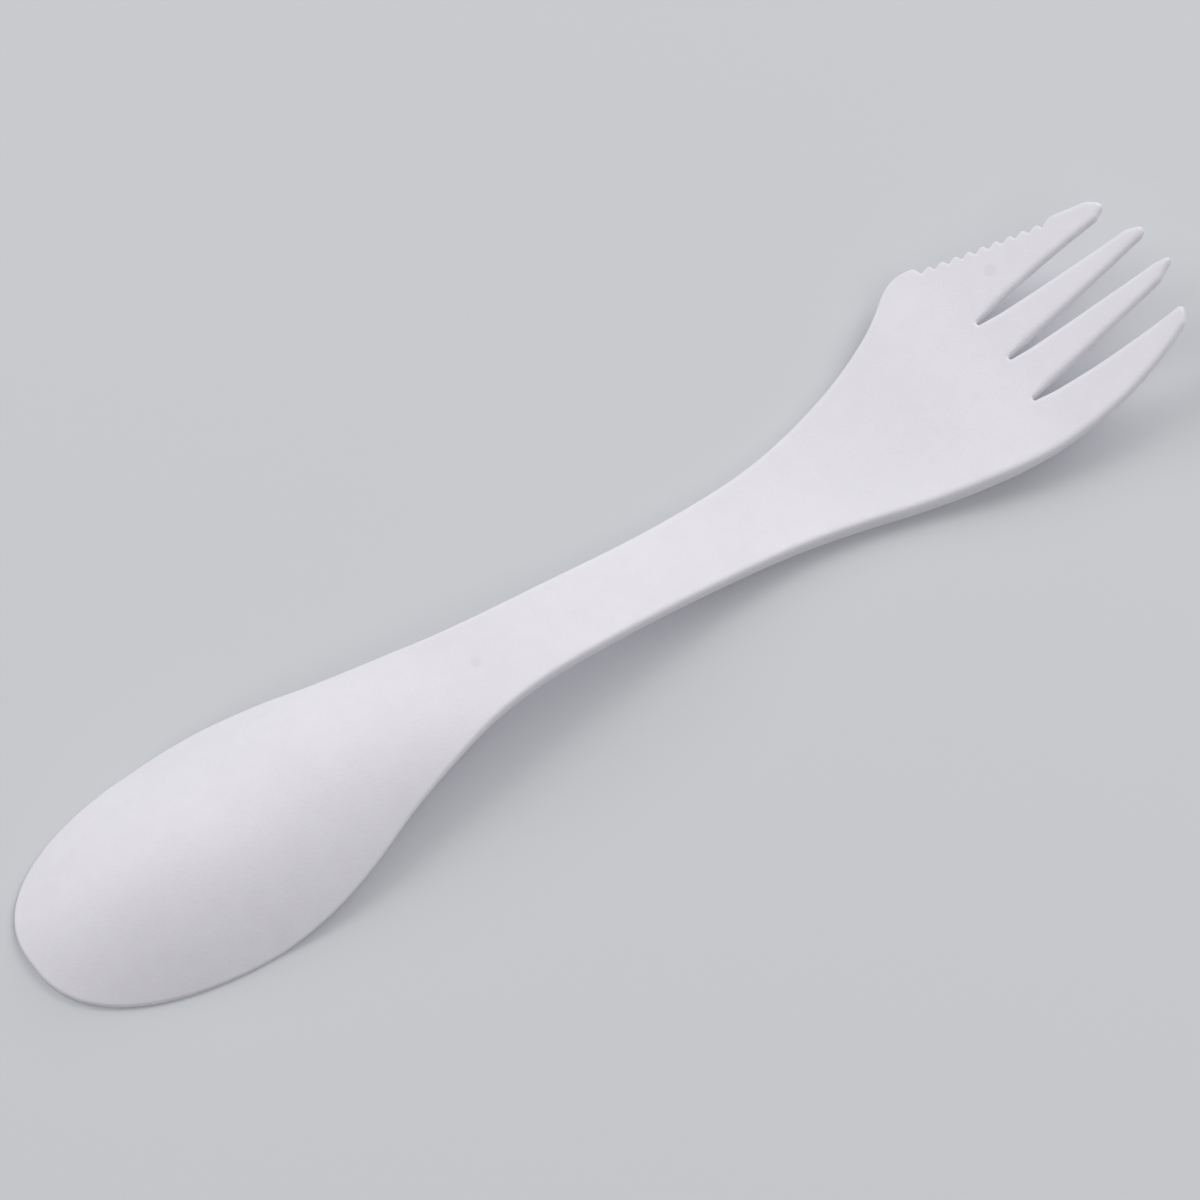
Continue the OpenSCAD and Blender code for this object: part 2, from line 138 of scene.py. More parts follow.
@dataclass(frozen=True)
class SpoonEnd:
    """Sizes of the bowl and the neck, in millimetres, and the shares that shape them."""

    width: float = 31.6
    reach: float = 26.5
    height: float = 8.4
    neck_height: float = 8.95
    shell: float = 1.7
    rim_width: float = 1.3
    rim_height: float = 0.85
    rim_round: float = 0.4
    nose_fullness: float = 2.45
    back_fullness: float = 2.2
    bowl_end_share: float = 0.3
    rim_end_share: float = 0.9
    neck: Stations = Stations(
        (
            (0, 1), (0.12, 0.934), (0.23, 0.767), (0.34, 0.528), (0.465, 0.308),
            (0.59, 0.131), (0.72, 0.041), (0.84, 0.015), (1, 0),
        )
    )
    arch: Stations = Stations(
        (
            (0, 0), (0.12, 0.08), (0.235, 0.205), (0.35, 0.356), (0.465, 0.533),
            (0.58, 0.696), (0.7, 0.832), (0.815, 0.933), (0.935, 0.99), (1, 1),
        )
    )
    edge: Stations = Stations(((0, 0), (0.3, 0.27), (0.45, 0.53), (0.62, 0.87), (0.76, 1), (1, 1)))

    def nose_half(self, inset: float, x: Any) -> np.ndarray:
        """Half width of the bowl's front.

        Args:
            inset: Distance inside the outline.
            x: Places along the spork, up to the widest one.

        Returns:
            Half widths, zero ahead of the tip.
        """
        u = np.clip((x - inset) / (self.reach - inset), 0, 1)
        return (self.width / 2 - inset) * (1 - (1 - u) ** 2) ** (1 / self.nose_fullness)


@dataclass(frozen=True)
class Handle:
    """Sizes of the strip between the bowl and the fork."""

    wall: float = 1.5
    waist_width: float = 11.25
    neck_run: float = 63.5
    arch_run: float = 40.0
    arch_height: float = 6.4
    edge_round: float = 0.6
    end_share: float = 0.28
    fall: Stations = Stations(
        (
            (0, 1), (0.095, 0.978), (0.19, 0.904), (0.29, 0.793), (0.39, 0.667), (0.49, 0.538),
            (0.59, 0.406), (0.69, 0.272), (0.79, 0.143), (0.885, 0.05), (1, 0),
        )
    )


@dataclass(frozen=True)
class Slot:
    """A gap between two tines: its root, its two sides at the tips and how much each of them bows."""

    name: str
    place: float
    centre: float
    low: float
    high: float
    low_bow: float
    high_bow: float

    def sized(self, start: float, run: float, half: float) -> "Slot":
        """Turns a slot that is given in shares into one in millimetres.

        Args:
            start: Place where the tines start.
            run: Length of the tines.
            half: Half width of the fork.

        Returns:
            The slot with its sizes.
        """
        centre, low, high = (value * half for value in (self.centre, self.low, self.high))
        return Slot(self.name, start + self.place * run, centre, low, high, self.low_bow, self.high_bow)


@dataclass(frozen=True)
class Nose:
    """Slants at a tine's tip: runs as shares of the nose's length, cuts as shares of the tine's width."""

    outer_run: float
    outer_cut: float
    inner_run: float
    inner_cut: float

    @property
    def longest(self) -> float:
        """Run of the longer slant."""
        return max(self.outer_run, self.inner_run)


@dataclass(frozen=True)
class ForkEnd:
    """Sizes of the palm, the shoulder and the tines."""

    width: float = 28.85
    flare_run: float = 54.6
    belly_run: float = 31.0
    palm_wall: float = 2.05
    tip_height: float = 9.6
    dish_depth: float = 0.6
    edge_round: float = 0.75
    shoulder_reach: float = 18.15
    tine_run: float = 25.4
    tip_thickness: float = 1.25
    toothed_setback: float = 1.75
    plain_setback: float = 2.75
    root_radius: float = 0.32
    outer_bend: float = 48.5
    nose_run: float = 1.8
    nose_round: float = 0.45
    corner_fit_share: float = 0.45
    tine_round: float = 0.65
    widest_share: float = 0.135
    shoulder_share: float = 0.6
    thinning_share: float = 0.8
    flare: Stations = Stations(
        (
            (0, 0), (0.085, 0.006), (0.17, 0.026), (0.255, 0.057), (0.34, 0.111), (0.42, 0.199),
            (0.505, 0.325), (0.59, 0.482), (0.675, 0.635), (0.76, 0.779), (0.845, 0.907), (0.93, 0.983),
            (1, 1),
        )
    )
    climb: Stations = Stations(
        (
            (0, 0), (0.08, 0.006), (0.18, 0.039), (0.28, 0.108), (0.38, 0.204), (0.485, 0.315),
            (0.585, 0.434), (0.69, 0.56), (0.795, 0.702), (0.9, 0.845), (1, 1), (1.1, 1.155),
        )
    )
    dish: Stations = Stations(
        (
            (0, 0), (0.11, 0.08), (0.18, 0.3), (0.25, 0.62), (0.31, 0.86), (0.38, 1),
            (0.5, 0.93), (0.62, 0.65), (0.75, 0.35), (0.88, 0.1), (1, 0),
        )
    )
    shoulder: Stations = Stations(
        (
            (0, 0), (0.15, 0.015), (0.29, 0.075), (0.42, 0.173), (0.56, 0.34), (0.7, 0.645), (0.77, 0.86),
            (0.83, 0.985), (0.88, 1.03), (0.92, 1.035), (0.96, 1), (1, 0.94), (1.05, 0.85),
        )
    )
    # Roots as shares of the tines' length, centres and sides as shares of the fork's half width, bows
    slots: tuple[Slot, ...] = (
        Slot("toothed", 0.083, 0.444, 0.292, 0.548, 0.12, 1.62),
        Slot("middle", 0.0895, -0.005, -0.134, 0.157, 0.01, -0.17),
        Slot("plain", 0.043, -0.4615, -0.591, -0.27, 1.4, -0.14),
    )
    # From the toothed tine to the plain one
    noses: tuple[Nose, ...] = (
        Nose(0.68, 0.35, 0.95, 0.31),
        Nose(0.96, 0.38, 0.44, 0.17),
        Nose(1.46, 0.45, 1.0, 0.16),
        Nose(0.57, 0.44, 0.05, 0),
    )


@dataclass(frozen=True)
class Teeth:
    """Sizes of the row of teeth."""

    count: int = 9
    run: float = 15.15
    depth: float = 0.63
    first_notch: float = 1.0
    notch_reach: float = 16.55
    notch_drop: float = 4.95
    root_depth: float = 0.6
    step_share: float = 2.1
    border_share: float = 0.25
    edge_round: float = 0.25
    lead: Stations = Stations(
        (
            (0, 1), (0.26, 0.94), (0.48, 0.845), (0.57, 0.775), (0.65, 0.68),
            (0.7, 0.56), (0.77, 0.36), (0.84, 0.18), (0.9, 0.05), (1, 0),
        )
    )
    tooth: tuple[tuple[float, float], ...] = (
        (0, 0), (0.12, 0.12), (0.3, 0.5), (0.45, 0.76), (0.6, 0.93), (0.74, 1),
        (0.81, 0.9), (0.85, 0.68), (0.89, 0.4), (0.94, 0.12), (1, 0),
    )
    rise: Stations = Stations(
        (
            (0, 0), (0.2, 0.22), (0.4, 0.43), (0.6, 0.61), (0.7, 0.68), (0.8, 0.74), (0.9, 0.79),
            (1, 0.82), (1.2, 0.86), (1.4, 0.9), (1.6, 0.945), (1.8, 0.985), (2, 1),
        )
    )

    @property
    def pitch(self) -> float:
        """Notch to notch along the fork."""
        return self.run / self.count


@dataclass(frozen=True)
class Mark:
    """A shallow round witness mark that a pin of the mould left."""

    x: float
    y: float
    radius: float = 0.8
    depth: float = 0.03
    lip: float = 0.5

    def share(self, points: np.ndarray) -> np.ndarray:
        """How deep places in plan lie in the mark, as a share of its depth."""
        gap = (np.hypot(points[:, 0] - self.x, points[:, 1] - self.y) - self.radius) / self.lip
        return 1 - ease(0, 1, gap + 0.5)


@dataclass
class Moulding:
    """The form of the whole moulding: its outline in plan and the heights of its two faces.

    Its methods take one place along the spork or an array of them, and give a value for each.
    """

    spoon: SpoonEnd = field(default_factory=SpoonEnd)
    handle: Handle = field(default_factory=Handle)
    fork: ForkEnd = field(default_factory=ForkEnd)
    teeth: Teeth = field(default_factory=Teeth)
    foot_round: float = 0.2
    # The second mark keeps clear of the cut at the top of the arch
    marks: tuple[Mark, ...] = (Mark(152.2, 11.1), Mark(65.45, 0.43, 0.65))

    def __post_init__(self) -> None:
        """Works out the places along the length from the sizes."""
        spoon, handle, fork, teeth = self.spoon, self.handle, self.fork, self.teeth
        self.arch_place = spoon.reach + handle.arch_run
        self.waist_place = spoon.reach + handle.neck_run
        self.belly_place = self.waist_place + fork.belly_run
        self.tine_start = self.waist_place + fork.flare_run
        self.tip_place = self.tine_start + fork.tine_run
        self.bowl_end = spoon.reach + spoon.bowl_end_share * handle.neck_run
        self.handle_end = self.waist_place + handle.end_share * fork.flare_run
        self.rim_end = spoon.rim_end_share * spoon.reach
        self.fork_widest = self.tine_start + fork.widest_share * fork.tine_run
        self.shoulder_start = self.waist_place + fork.shoulder_share * fork.flare_run
        self.thinning_place = self.waist_place + fork.thinning_share * fork.flare_run
        self.notch_place = self.tine_start + teeth.first_notch
        self.last_notch = self.notch_place + teeth.run
        self.border_end = self.last_notch + teeth.border_share * teeth.pitch
        self.step_end = self.last_notch + teeth.pitch
        self.cuts = {
            Zone.BOWL: self.bowl_end,
            Zone.NECK: self.arch_place,
            Zone.HANDLE: self.handle_end,
            Zone.PALM: self.tine_start,
        }
        self.slots = [slot.sized(self.tine_start, fork.tine_run, fork.width / 2) for slot in fork.slots]
        self.shoulder_rise = fork.shoulder_reach - float(self.half_width(self.tine_start))

    def half_width(self, x: Any) -> np.ndarray:
        """Distance of the plain side from the centre line.

        Args:
            x: Places along the spork.

        Returns:
            Half widths.
        """
        spoon, handle, fork = self.spoon, self.handle, self.fork
        bowl, waist, wide = spoon.width / 2, handle.waist_width / 2, fork.width / 2
        beyond = np.clip(x - self.fork_widest, 0, fork.outer_bend)
        return np.select(
            [x < spoon.reach, x < self.waist_place, x < self.fork_widest],
            [
                spoon.nose_half(0, x),
                waist + (bowl - waist) * spoon.neck.at((x - spoon.reach) / handle.neck_run),
                waist + (wide - waist) * fork.flare.at(share(x, self.waist_place, self.fork_widest)),
            ],
            wide - fork.outer_bend + np.sqrt(fork.outer_bend**2 - beyond**2),
        )

    def plain_side(self, x: Any) -> np.ndarray:
        """Place of the plain side across the spork."""
        return -self.half_width(x)

    def hollow_half(self, x: Any) -> np.ndarray:
        """Half width of the hollow under the bowl."""
        rim = self.spoon.rim_width
        return np.where(x < self.spoon.reach, self.spoon.nose_half(rim, x), self.half_width(x) - rim)

    def toothed_half(self, x: Any) -> np.ndarray:
        """Distance of the toothed side from the centre line, up to the start of the tines."""
        u = share(x, self.shoulder_start, self.tine_start)
        return self.half_width(x) + np.where(u < 0, 0, self.shoulder_rise * self.fork.shoulder.at(u))

    def notch_line(self, x: Any) -> np.ndarray:
        """Straight line through the bottoms of the notches."""
        return self.teeth.notch_reach - self.teeth.notch_drop / self.teeth.run * (x - self.notch_place)

    def tooth_side(self, x: Any) -> np.ndarray:
        """Toothed side from the start of the tines to the tip: shoulder, teeth, step and straight side.

        Args:
            x: Places along the spork.

        Returns:
            Distances from the centre line.
        """
        teeth = self.teeth
        fall = float(self.toothed_half(self.tine_start)) - teeth.notch_reach
        lead = teeth.lead.at((x - self.tine_start) / teeth.first_notch)
        wave = np.interp((x - self.notch_place) / teeth.pitch % 1, *np.array(teeth.tooth).T)
        step = teeth.step_share * teeth.depth
        return np.select(
            [x < self.notch_place, x < self.last_notch],
            [teeth.notch_reach + fall * lead, self.notch_line(x) + teeth.depth * wave],
            self.notch_line(x) + step * teeth.rise.at((x - self.last_notch) / teeth.pitch),
        )

    def tooth_border(self, x: Any) -> np.ndarray:
        """Line that parts the strip with the teeth from its tine.

        Args:
            x: Places along the spork.

        Returns:
            Distances from the centre line.
        """
        u = np.clip(share(x, self.border_end, self.step_end), 0, 1)
        inside = self.notch_line(np.minimum(x, self.border_end)) - self.teeth.root_depth
        return (1 - u) * inside + u * float(self.tooth_side(self.step_end))

    def slot_side(self, slot: Slot, x: Any, side: Side) -> np.ndarray:
        """One side of a slot, beyond its round root.

        Args:
            slot: The slot, in millimetres.
            x: Places along the spork.
            side: Which side of the slot.

        Returns:
            Distances from the centre line.
        """
        radius = self.fork.root_radius
        u = np.clip((x - slot.place - radius) / (self.tip_place - slot.place - radius), 0, None)
        target, bow = (slot.low, slot.low_bow) if side is Side.PLAIN else (slot.high, slot.high_bow)
        start = slot.centre + side.value * radius
        return start + (target - start) * u * (1 + bow * (1 - u))

    def dish(self, x: Any) -> np.ndarray:
        """How far the fork dips between its sides."""
        u = share(x, self.waist_place, self.tip_place)
        return self.fork.dish_depth * self.fork.dish.at(np.maximum(u, 0))

    def plate(self, x: Any) -> np.ndarray:
        """Height of the underside along the centre line, without the bowl's hollow.

        Args:
            x: Places along the spork.

        Returns:
            Heights above the floor.
        """
        spoon, handle, fork = self.spoon, self.handle, self.fork
        return np.select(
            [x < self.rim_end, x < self.arch_place, x < self.belly_place],
            [
                np.zeros_like(x),
                handle.arch_height * spoon.arch.at(share(x, self.rim_end, self.arch_place)),
                handle.arch_height * handle.fall.at(share(x, self.arch_place, self.belly_place)),
            ],
            fork.tip_height * fork.climb.at(share(x, self.belly_place, self.tip_place)),
        )

    def foot(self, x: Any) -> np.ndarray:
        """Height of the underside at the plain edge."""
        return self.plate(x) + self.dish(x)

    def thickness(self, x: Any) -> np.ndarray:
        """Thickness of the moulding along the centre line.

        Args:
            x: Places along the spork.

        Returns:
            Thicknesses, measured upright.
        """
        spoon, handle, fork = self.spoon, self.handle, self.fork
        return np.select(
            [x < self.arch_place, x < self.thinning_place],
            [
                ease(spoon.shell, handle.wall, (x - spoon.reach) / handle.arch_run),
                ease(handle.wall, fork.palm_wall, (x - self.waist_place) / fork.belly_run),
            ],
            ease(fork.palm_wall, fork.tip_thickness, share(x, self.thinning_place, self.fork_widest)),
        )

    def back(self, x: Any) -> np.ndarray:
        """Height of the top along the centre line.

        Args:
            x: Places along the spork.

        Returns:
            Heights above the floor.
        """
        spoon, handle = self.spoon, self.handle
        front = 1 - (1 - np.clip(x / spoon.reach, 0, 1)) ** spoon.back_fullness
        top = handle.arch_height + handle.wall
        return np.select(
            [x < spoon.reach, x < self.bowl_end, x < self.arch_place],
            [
                spoon.rim_height + (spoon.height - spoon.rim_height) * front,
                ease(spoon.height, spoon.neck_height, share(x, spoon.reach, self.bowl_end)),
                ease(spoon.neck_height, top, share(x, self.bowl_end, self.arch_place)),
            ],
            self.plate(x) + self.thickness(x),
        )

    def edge_height(self, x: Any) -> np.ndarray:
        """Height of the side wall, roundings included.

        Args:
            x: Places along the spork.

        Returns:
            Heights of the wall.
        """
        spoon, handle = self.spoon, self.handle
        growth = spoon.edge.at((x - spoon.reach) / handle.neck_run)
        rising = spoon.rim_height + (handle.wall - spoon.rim_height) * growth
        return np.where(x < self.waist_place, rising, self.thickness(x))

    def crown(self, x: Any) -> np.ndarray:
        """Rise of the top from its edges to the centre line."""
        return self.back(x) - self.foot(x) - self.edge_height(x)

    def edge_round(self, x: Any) -> np.ndarray:
        """Radius of the top edges' rounding.

        Args:
            x: Places along the spork.

        Returns:
            Radii.
        """
        spoon, handle, fork = self.spoon, self.handle, self.fork
        return np.select(
            [x < self.waist_place, x < self.tine_start],
            [
                ease(spoon.rim_round, handle.edge_round, (x - spoon.reach) / handle.neck_run),
                ease(handle.edge_round, fork.edge_round, (x - self.waist_place) / fork.flare_run),
            ],
            ease(fork.edge_round, fork.tine_round, (x - self.tine_start) / fork.tine_run),
        )

    def toothed_round(self, x: Any) -> np.ndarray:
        """Radius of the rounding along the top of the toothed side.

        Args:
            x: Places along the spork.

        Returns:
            Radii, which shrink over the shoulder and grow again behind the step.
        """
        own, fine = self.edge_round(x), self.teeth.edge_round
        before = own + (fine - own) * ease(0, 1, share(x, self.shoulder_start, self.tine_start))
        behind = fine + (own - fine) * ease(0, 1, (x - self.step_end) / self.teeth.pitch)
        return np.where(x < self.tine_start, before, behind)

    def over(self, x: np.ndarray, y: np.ndarray) -> np.ndarray:
        """Height of the top before its edges are rounded.

        Args:
            x: Places along the spork.
            y: Places across it.

        Returns:
            Heights above the floor.
        """
        crown = self.crown(x)
        half = self.half_width(x) - np.where(crown > 0, self.edge_round(x), 0)
        return self.foot(x) + self.edge_height(x) + crown * (1 - (y / np.maximum(half, self.foot_round)) ** 2)

    def under(self, x: np.ndarray, y: np.ndarray) -> np.ndarray:
        """Height of the underside before its edges are rounded, with a soft crease round the hollow.

        Args:
            x: Places along the spork.
            y: Places across it.

        Returns:
            Heights above the floor.
        """
        depth = np.maximum(0, self.back(x) - self.thickness(x) - self.foot(x))
        hollow = np.where(x < self.arch_place, depth, 0)
        # Beyond the rim the hollow's curve runs on to one depth below it, so that the crease can round it
        deep = hollow * (1 - np.minimum((y / np.maximum(self.hollow_half(x), self.foot_round)) ** 2, 2))
        crease = self.spoon.rim_round / 2
        deep = np.where(hollow > 0, (deep + np.sqrt(deep**2 + crease**2)) / 2, 0)
        deep = np.where(hollow > 0, deep * np.clip(hollow / crease, 0, 1), 0)
        dip = self.dish(x) * (1 - (y / np.maximum(self.half_width(x), self.foot_round)) ** 2)
        return self.foot(x) + deep - dip


@dataclass(frozen=True)
class Tine:
    """A tine in plan: its two long sides, the one with the longer slant, its tip and its nose."""

    low: Line
    high: Line
    outer: Side
    tip: float
    nose: Nose


@dataclass
class Outline:
    """The moulding's outline in plan, anticlockwise from the tip of the bowl.

    It is drawn at dense steps and softened there, and its points are then picked between fine and coarse
    ones, so that each turns by about turn_per_point, in radians.
    """

    form: Moulding
    dense: float = 0.03
    fine: float = 0.1
    coarse: float = 0.28
    turn_per_point: float = 0.22
    # Dense points to each side over which the turning is averaged
    turn_window: int = 20
    softness: float = 0.07
    # Rounding of the top's edge at the slots' roots, and how far from them it reaches that of the tines
    root_round: float = 0.3
    root_reach: float = 3.5
    # How far inside their border the rounding of the teeth starts
    beside_teeth: float = 0.2
    # Points of a half circle or a slant, of a tine's rounded corner and of the bowl's front
    arc_steps: int = 60
    corner_steps: int = 40
    bowl_steps: int = 1200
    points: np.ndarray = field(init=False)
    radii: np.ndarray = field(init=False)
    corners: dict[str, int] = field(init=False, default_factory=dict)

    def __post_init__(self) -> None:
        """Draws the outline and picks its points."""
        self.pick(self.soften(self.draw()))
        self.radii = self.rounding()

    def walk(self, points: np.ndarray) -> np.ndarray:
        """Points at even dense steps along a polyline.

        Args:
            points: The polyline.

        Returns:
            The new points, from its first to its last.
        """
        lengths = np.r_[0, np.cumsum(np.hypot(*np.diff(points, axis=0).T))]
        at = np.linspace(0, lengths[-1], max(2, int(round(lengths[-1] / self.dense)) + 1))
        return np.c_[np.interp(at, lengths, points[:, 0]), np.interp(at, lengths, points[:, 1])]

    def soften(self, loop: np.ndarray) -> np.ndarray:
        """Rounds a closed polyline's corners with a moving mean.

        Args:
            loop: The polyline, at dense steps.

        Returns:
            The softened line, with as many points.
        """
        n = max(1, int(round(self.softness / self.dense)))
        kernel = np.ones(2 * n + 1) / (2 * n + 1)
        pad = np.r_[loop[-n:], loop, loop[:n]]
        return np.stack([np.convolve(pad[:, k], kernel, "valid") for k in (0, 1)], axis=1)

    def nose(self, tine: Tine) -> np.ndarray:
        """Rounded end of a tine, from its low side to its high side.

        Args:
            tine: The tine.

        Returns:
            The points of the nose.
        """
        fork, nose = self.form.fork, tine.nose
        back = np.linspace(fork.nose_run * nose.longest, fork.nose_round, self.arc_steps)
        turn = np.radians(np.linspace(0, 90, self.corner_steps))
        gap = np.r_[back[:-1], fork.nose_round * (1 - np.sin(turn))]
        x = tine.tip - gap
        a, b = tine.low(x), tine.high(x)
        room = fork.corner_fit_share * (1 - nose.outer_cut - nose.inner_cut) * (b - a)
        fit = np.minimum(fork.nose_round, room)
        corner = fit - np.sqrt(fit**2 - np.maximum(fit - gap, 0) ** 2)
        outer, inner = (
            cut * (b - a) * np.clip(1 - gap / (run * fork.nose_run), 0, 1) + corner
            for run, cut in ((nose.outer_run, nose.outer_cut), (nose.inner_run, nose.inner_cut))
        )
        low, high = (outer, inner) if tine.outer is Side.PLAIN else (inner, outer)
        return np.r_[np.c_[x, a + low], np.c_[x, b - high][::-1]]

    def side(self, start: float, end: float, line: Line) -> np.ndarray:
        """Points of a long side from start to end, which may run either way."""
        x = np.linspace(start, end, max(2, int(abs(end - start) / (self.dense / 2))))
        return np.c_[x, line(x)]

    def root(self, slot: Slot) -> np.ndarray:
        """Half circle at a slot's root, from its low side to its high side.

        Args:
            slot: The slot.

        Returns:
            The points of the half circle.
        """
        angle = np.radians(np.linspace(270, 90, self.arc_steps))
        radius = self.form.fork.root_radius
        return np.c_[slot.place + radius + radius * np.cos(angle), slot.centre + radius * np.sin(angle)]

    def tines(self) -> list[Tine]:
        """Lists the tines.

        Returns:
            The four tines, from the plain one to the toothed one.
        """
        form, fork, tip = self.form, self.form.fork, self.form.tip_place
        slots = form.slots[::-1]
        lows = [form.plain_side] + [partial(form.slot_side, slot, side=Side.TOOTHED) for slot in slots]
        highs = [partial(form.slot_side, slot, side=Side.PLAIN) for slot in slots] + [form.tooth_side]
        outers = (Side.PLAIN, Side.PLAIN, Side.TOOTHED, Side.TOOTHED)
        tips = (tip - fork.plain_setback, tip, tip, tip - fork.toothed_setback)
        return [Tine(*parts) for parts in zip(lows, highs, outers, tips, fork.noses[::-1])]

    def draw(self) -> np.ndarray:
        """Draws the whole outline.

        Returns:
            Its points at dense steps.
        """
        form, reach = self.form, self.form.spoon.reach
        front = reach * (1 - np.cos(np.radians(np.linspace(0, 90, self.bowl_steps))))
        parts = [np.c_[front, form.plain_side(front)]]
        place = reach
        for tine, slot in zip(self.tines(), [*form.slots[::-1], None]):
            back = tine.tip - form.fork.nose_run * tine.nose.longest
            parts += [self.side(place, back, tine.low), self.nose(tine)]
            place = slot.place + form.fork.root_radius if slot else form.tine_start
            parts.append(self.side(back, place, tine.high))
            if slot:
                parts.append(self.root(slot))
        parts.append(self.side(form.tine_start, reach, form.toothed_half))
        parts.append(np.c_[front, form.half_width(front)][::-1])
        line = np.concatenate(parts)
        keep = np.r_[True, np.hypot(*np.diff(line, axis=0).T) > SAME_POINT]
        return self.walk(line[keep])[:-1]

    def crossing(self, loop: np.ndarray, place: float, side: Side) -> float:
        """Where the loop's outer side passes a place.

        Args:
            loop: The outline at dense steps.
            place: The place along the spork.
            side: Which outer side.

        Returns:
            The crossing, counted in points along the loop.
        """
        x, y = loop.T
        after = np.roll(x, -1)
        hits = np.nonzero((x - place) * (after - place) <= 0)[0]
        best = max(hits, key=lambda i: side.value * y[i])
        return float(best + (place - x[best]) / (after[best] - x[best]))

    def fixed_places(self, loop: np.ndarray) -> dict[str, float]:
        """Finds the places that get a point whatever the spacing.

        Args:
            loop: The outline at dense steps.

        Returns:
            The places by name, in their order along the loop and counted in its points.
        """
        form = self.form
        fixed = {"tip": 0.0, "step": self.crossing(loop, form.step_end, Side.TOOTHED)}
        for zone, place in form.cuts.items():
            fixed[zone.value + "_low"] = self.crossing(loop, place, Side.PLAIN)
            fixed[zone.value + "_high"] = self.crossing(loop, place, Side.TOOTHED)
        for slot in form.slots:
            gaps = np.hypot(loop[:, 0] - slot.place, loop[:, 1] - slot.centre)
            fixed["root_" + slot.name] = float(np.argmin(gaps))
        return dict(sorted(fixed.items(), key=lambda item: item[1]))

    def spacing(self, loop: np.ndarray) -> np.ndarray:
        """Works out how far apart the points are picked.

        Args:
            loop: The outline at dense steps.

        Returns:
            The spacing at each point of the loop: finer where it turns fast, and along the teeth.
        """
        form, window = self.form, self.turn_window
        x, y = loop.T
        steps = np.diff(np.r_[loop, loop[:1]], axis=0)
        turning = np.abs(np.gradient(np.unwrap(np.arctan2(steps[:, 1], steps[:, 0])))) / self.dense
        padded = np.r_[turning[-window:], turning, turning[:window]]
        mean = np.convolve(padded, np.ones(2 * window + 1) / (2 * window + 1), "valid")
        spacing = np.clip(self.turn_per_point / np.maximum(mean, TINY), self.fine, self.coarse)
        toothed = (x > form.tine_start) & (x < form.step_end) & (y > form.tooth_border(x))
        return np.where(toothed, self.fine, spacing)

    def pick(self, loop: np.ndarray) -> None:
        """Chooses the outline's points.

        Args:
            loop: The softened outline at dense steps.
        """
        fixed = self.fixed_places(loop)
        names, n = list(fixed), len(loop)
        index, ring = np.arange(n + 1), np.r_[loop, loop[:1]]
        density = np.r_[0, np.cumsum(self.dense / self.spacing(loop))]
        picked: list[np.ndarray] = []
        for name, following in zip(names, names[1:] + names[:1]):
            start, end = fixed[name], fixed[following]
            a, b = np.interp([start, end if end > start else n], index, density)
            count = max(3, int(round(b - a)))
            at = np.interp(np.linspace(a, b, count + 1)[:-1], density, index)
            at[0] = start
            self.corners[name] = sum(map(len, picked))
            picked.append(np.c_[np.interp(at, index, ring[:, 0]), np.interp(at, index, ring[:, 1])])
        self.points = np.concatenate(picked)

    def rounding(self) -> np.ndarray:
        """Works out the top edge's rounding, which is smaller along the teeth and round the slots' roots.

        Returns:
            Its radius at each point.
        """
        form = self.form
        x, y = self.points.T
        beside = np.where(x < form.tine_start, 0, form.tooth_border(x) - self.beside_teeth)
        radii = np.where(y > beside, form.toothed_round(x), form.edge_round(x))
        for slot in form.slots:
            away = np.hypot(x - slot.place, y - slot.centre) / self.root_reach
            radii = np.minimum(radii, self.root_round + (radii - self.root_round) * ease(0, 1, away))
        return radii

    def normals(self) -> np.ndarray:
        """Works out which way the moulding lies.

        Returns:
            Unit vectors that point into it, one for each point.
        """
        along = np.roll(self.points, -1, 0) - np.roll(self.points, 1, 0)
        inward = np.c_[-along[:, 1], along[:, 0]]
        return inward / np.hypot(*inward.T)[:, None]


def search_tree(points: np.ndarray) -> kdtree.KDTree:
    """Makes a search tree.

    Args:
        points: Points in plan.

    Returns:
        A tree that finds the nearest of them.
    """
    tree = kdtree.KDTree(len(points))
    for i, (x, y) in enumerate(points):
        tree.insert((x, y, 0), i)
    tree.balance()
    return tree


@dataclass
class Nearness:
    """Distance of places in plan from the outline, and what lies nearest there."""

    outline: Outline
    # Places nearer than this take the outline's own direction
    on_line: float = 1e-5

    def __post_init__(self) -> None:
        """Fills the search tree with the outline's points."""
        self.tree = search_tree(self.outline.points)

    def measure(self, places: np.ndarray) -> tuple[np.ndarray, np.ndarray, np.ndarray]:
        """Measures each place against the outline.

        Args:
            places: Places in plan.

        Returns:
            Distances, unit vectors away from the nearest place of the outline, and the rounding there.
        """
        points, radii = self.outline.points, self.outline.radii
        nearest = np.array([self.tree.find((x, y, 0))[1] for x, y in places])
        n = len(points)
        best = np.full(len(places), np.inf)
        foot = np.zeros((len(places), 2))
        radius = np.zeros(len(places))
        for shift in (-1, 0):
            i, j = (nearest + shift) % n, (nearest + shift + 1) % n
            a, b = points[i], points[j]
            u = np.clip(np.sum((places - a) * (b - a), 1) / np.sum((b - a) ** 2, 1), 0, 1)
            candidate = a + u[:, None] * (b - a)
            distance = np.hypot(*(places - candidate).T)
            closer = distance < best
            best = np.where(closer, distance, best)
            foot = np.where(closer[:, None], candidate, foot)
            radius = np.where(closer, radii[i] + u * (radii[j] - radii[i]), radius)
        away = places - foot
        length = np.hypot(*away.T)[:, None]
        own = self.outline.normals()[nearest]
        return best, np.where(length > self.on_line, away / np.maximum(length, TINY), own), radius


@dataclass
class Cut:
    """A border between zones: its points, and the outline's points that it ends and may start on."""

    points: np.ndarray
    end: int
    start: int | None = None


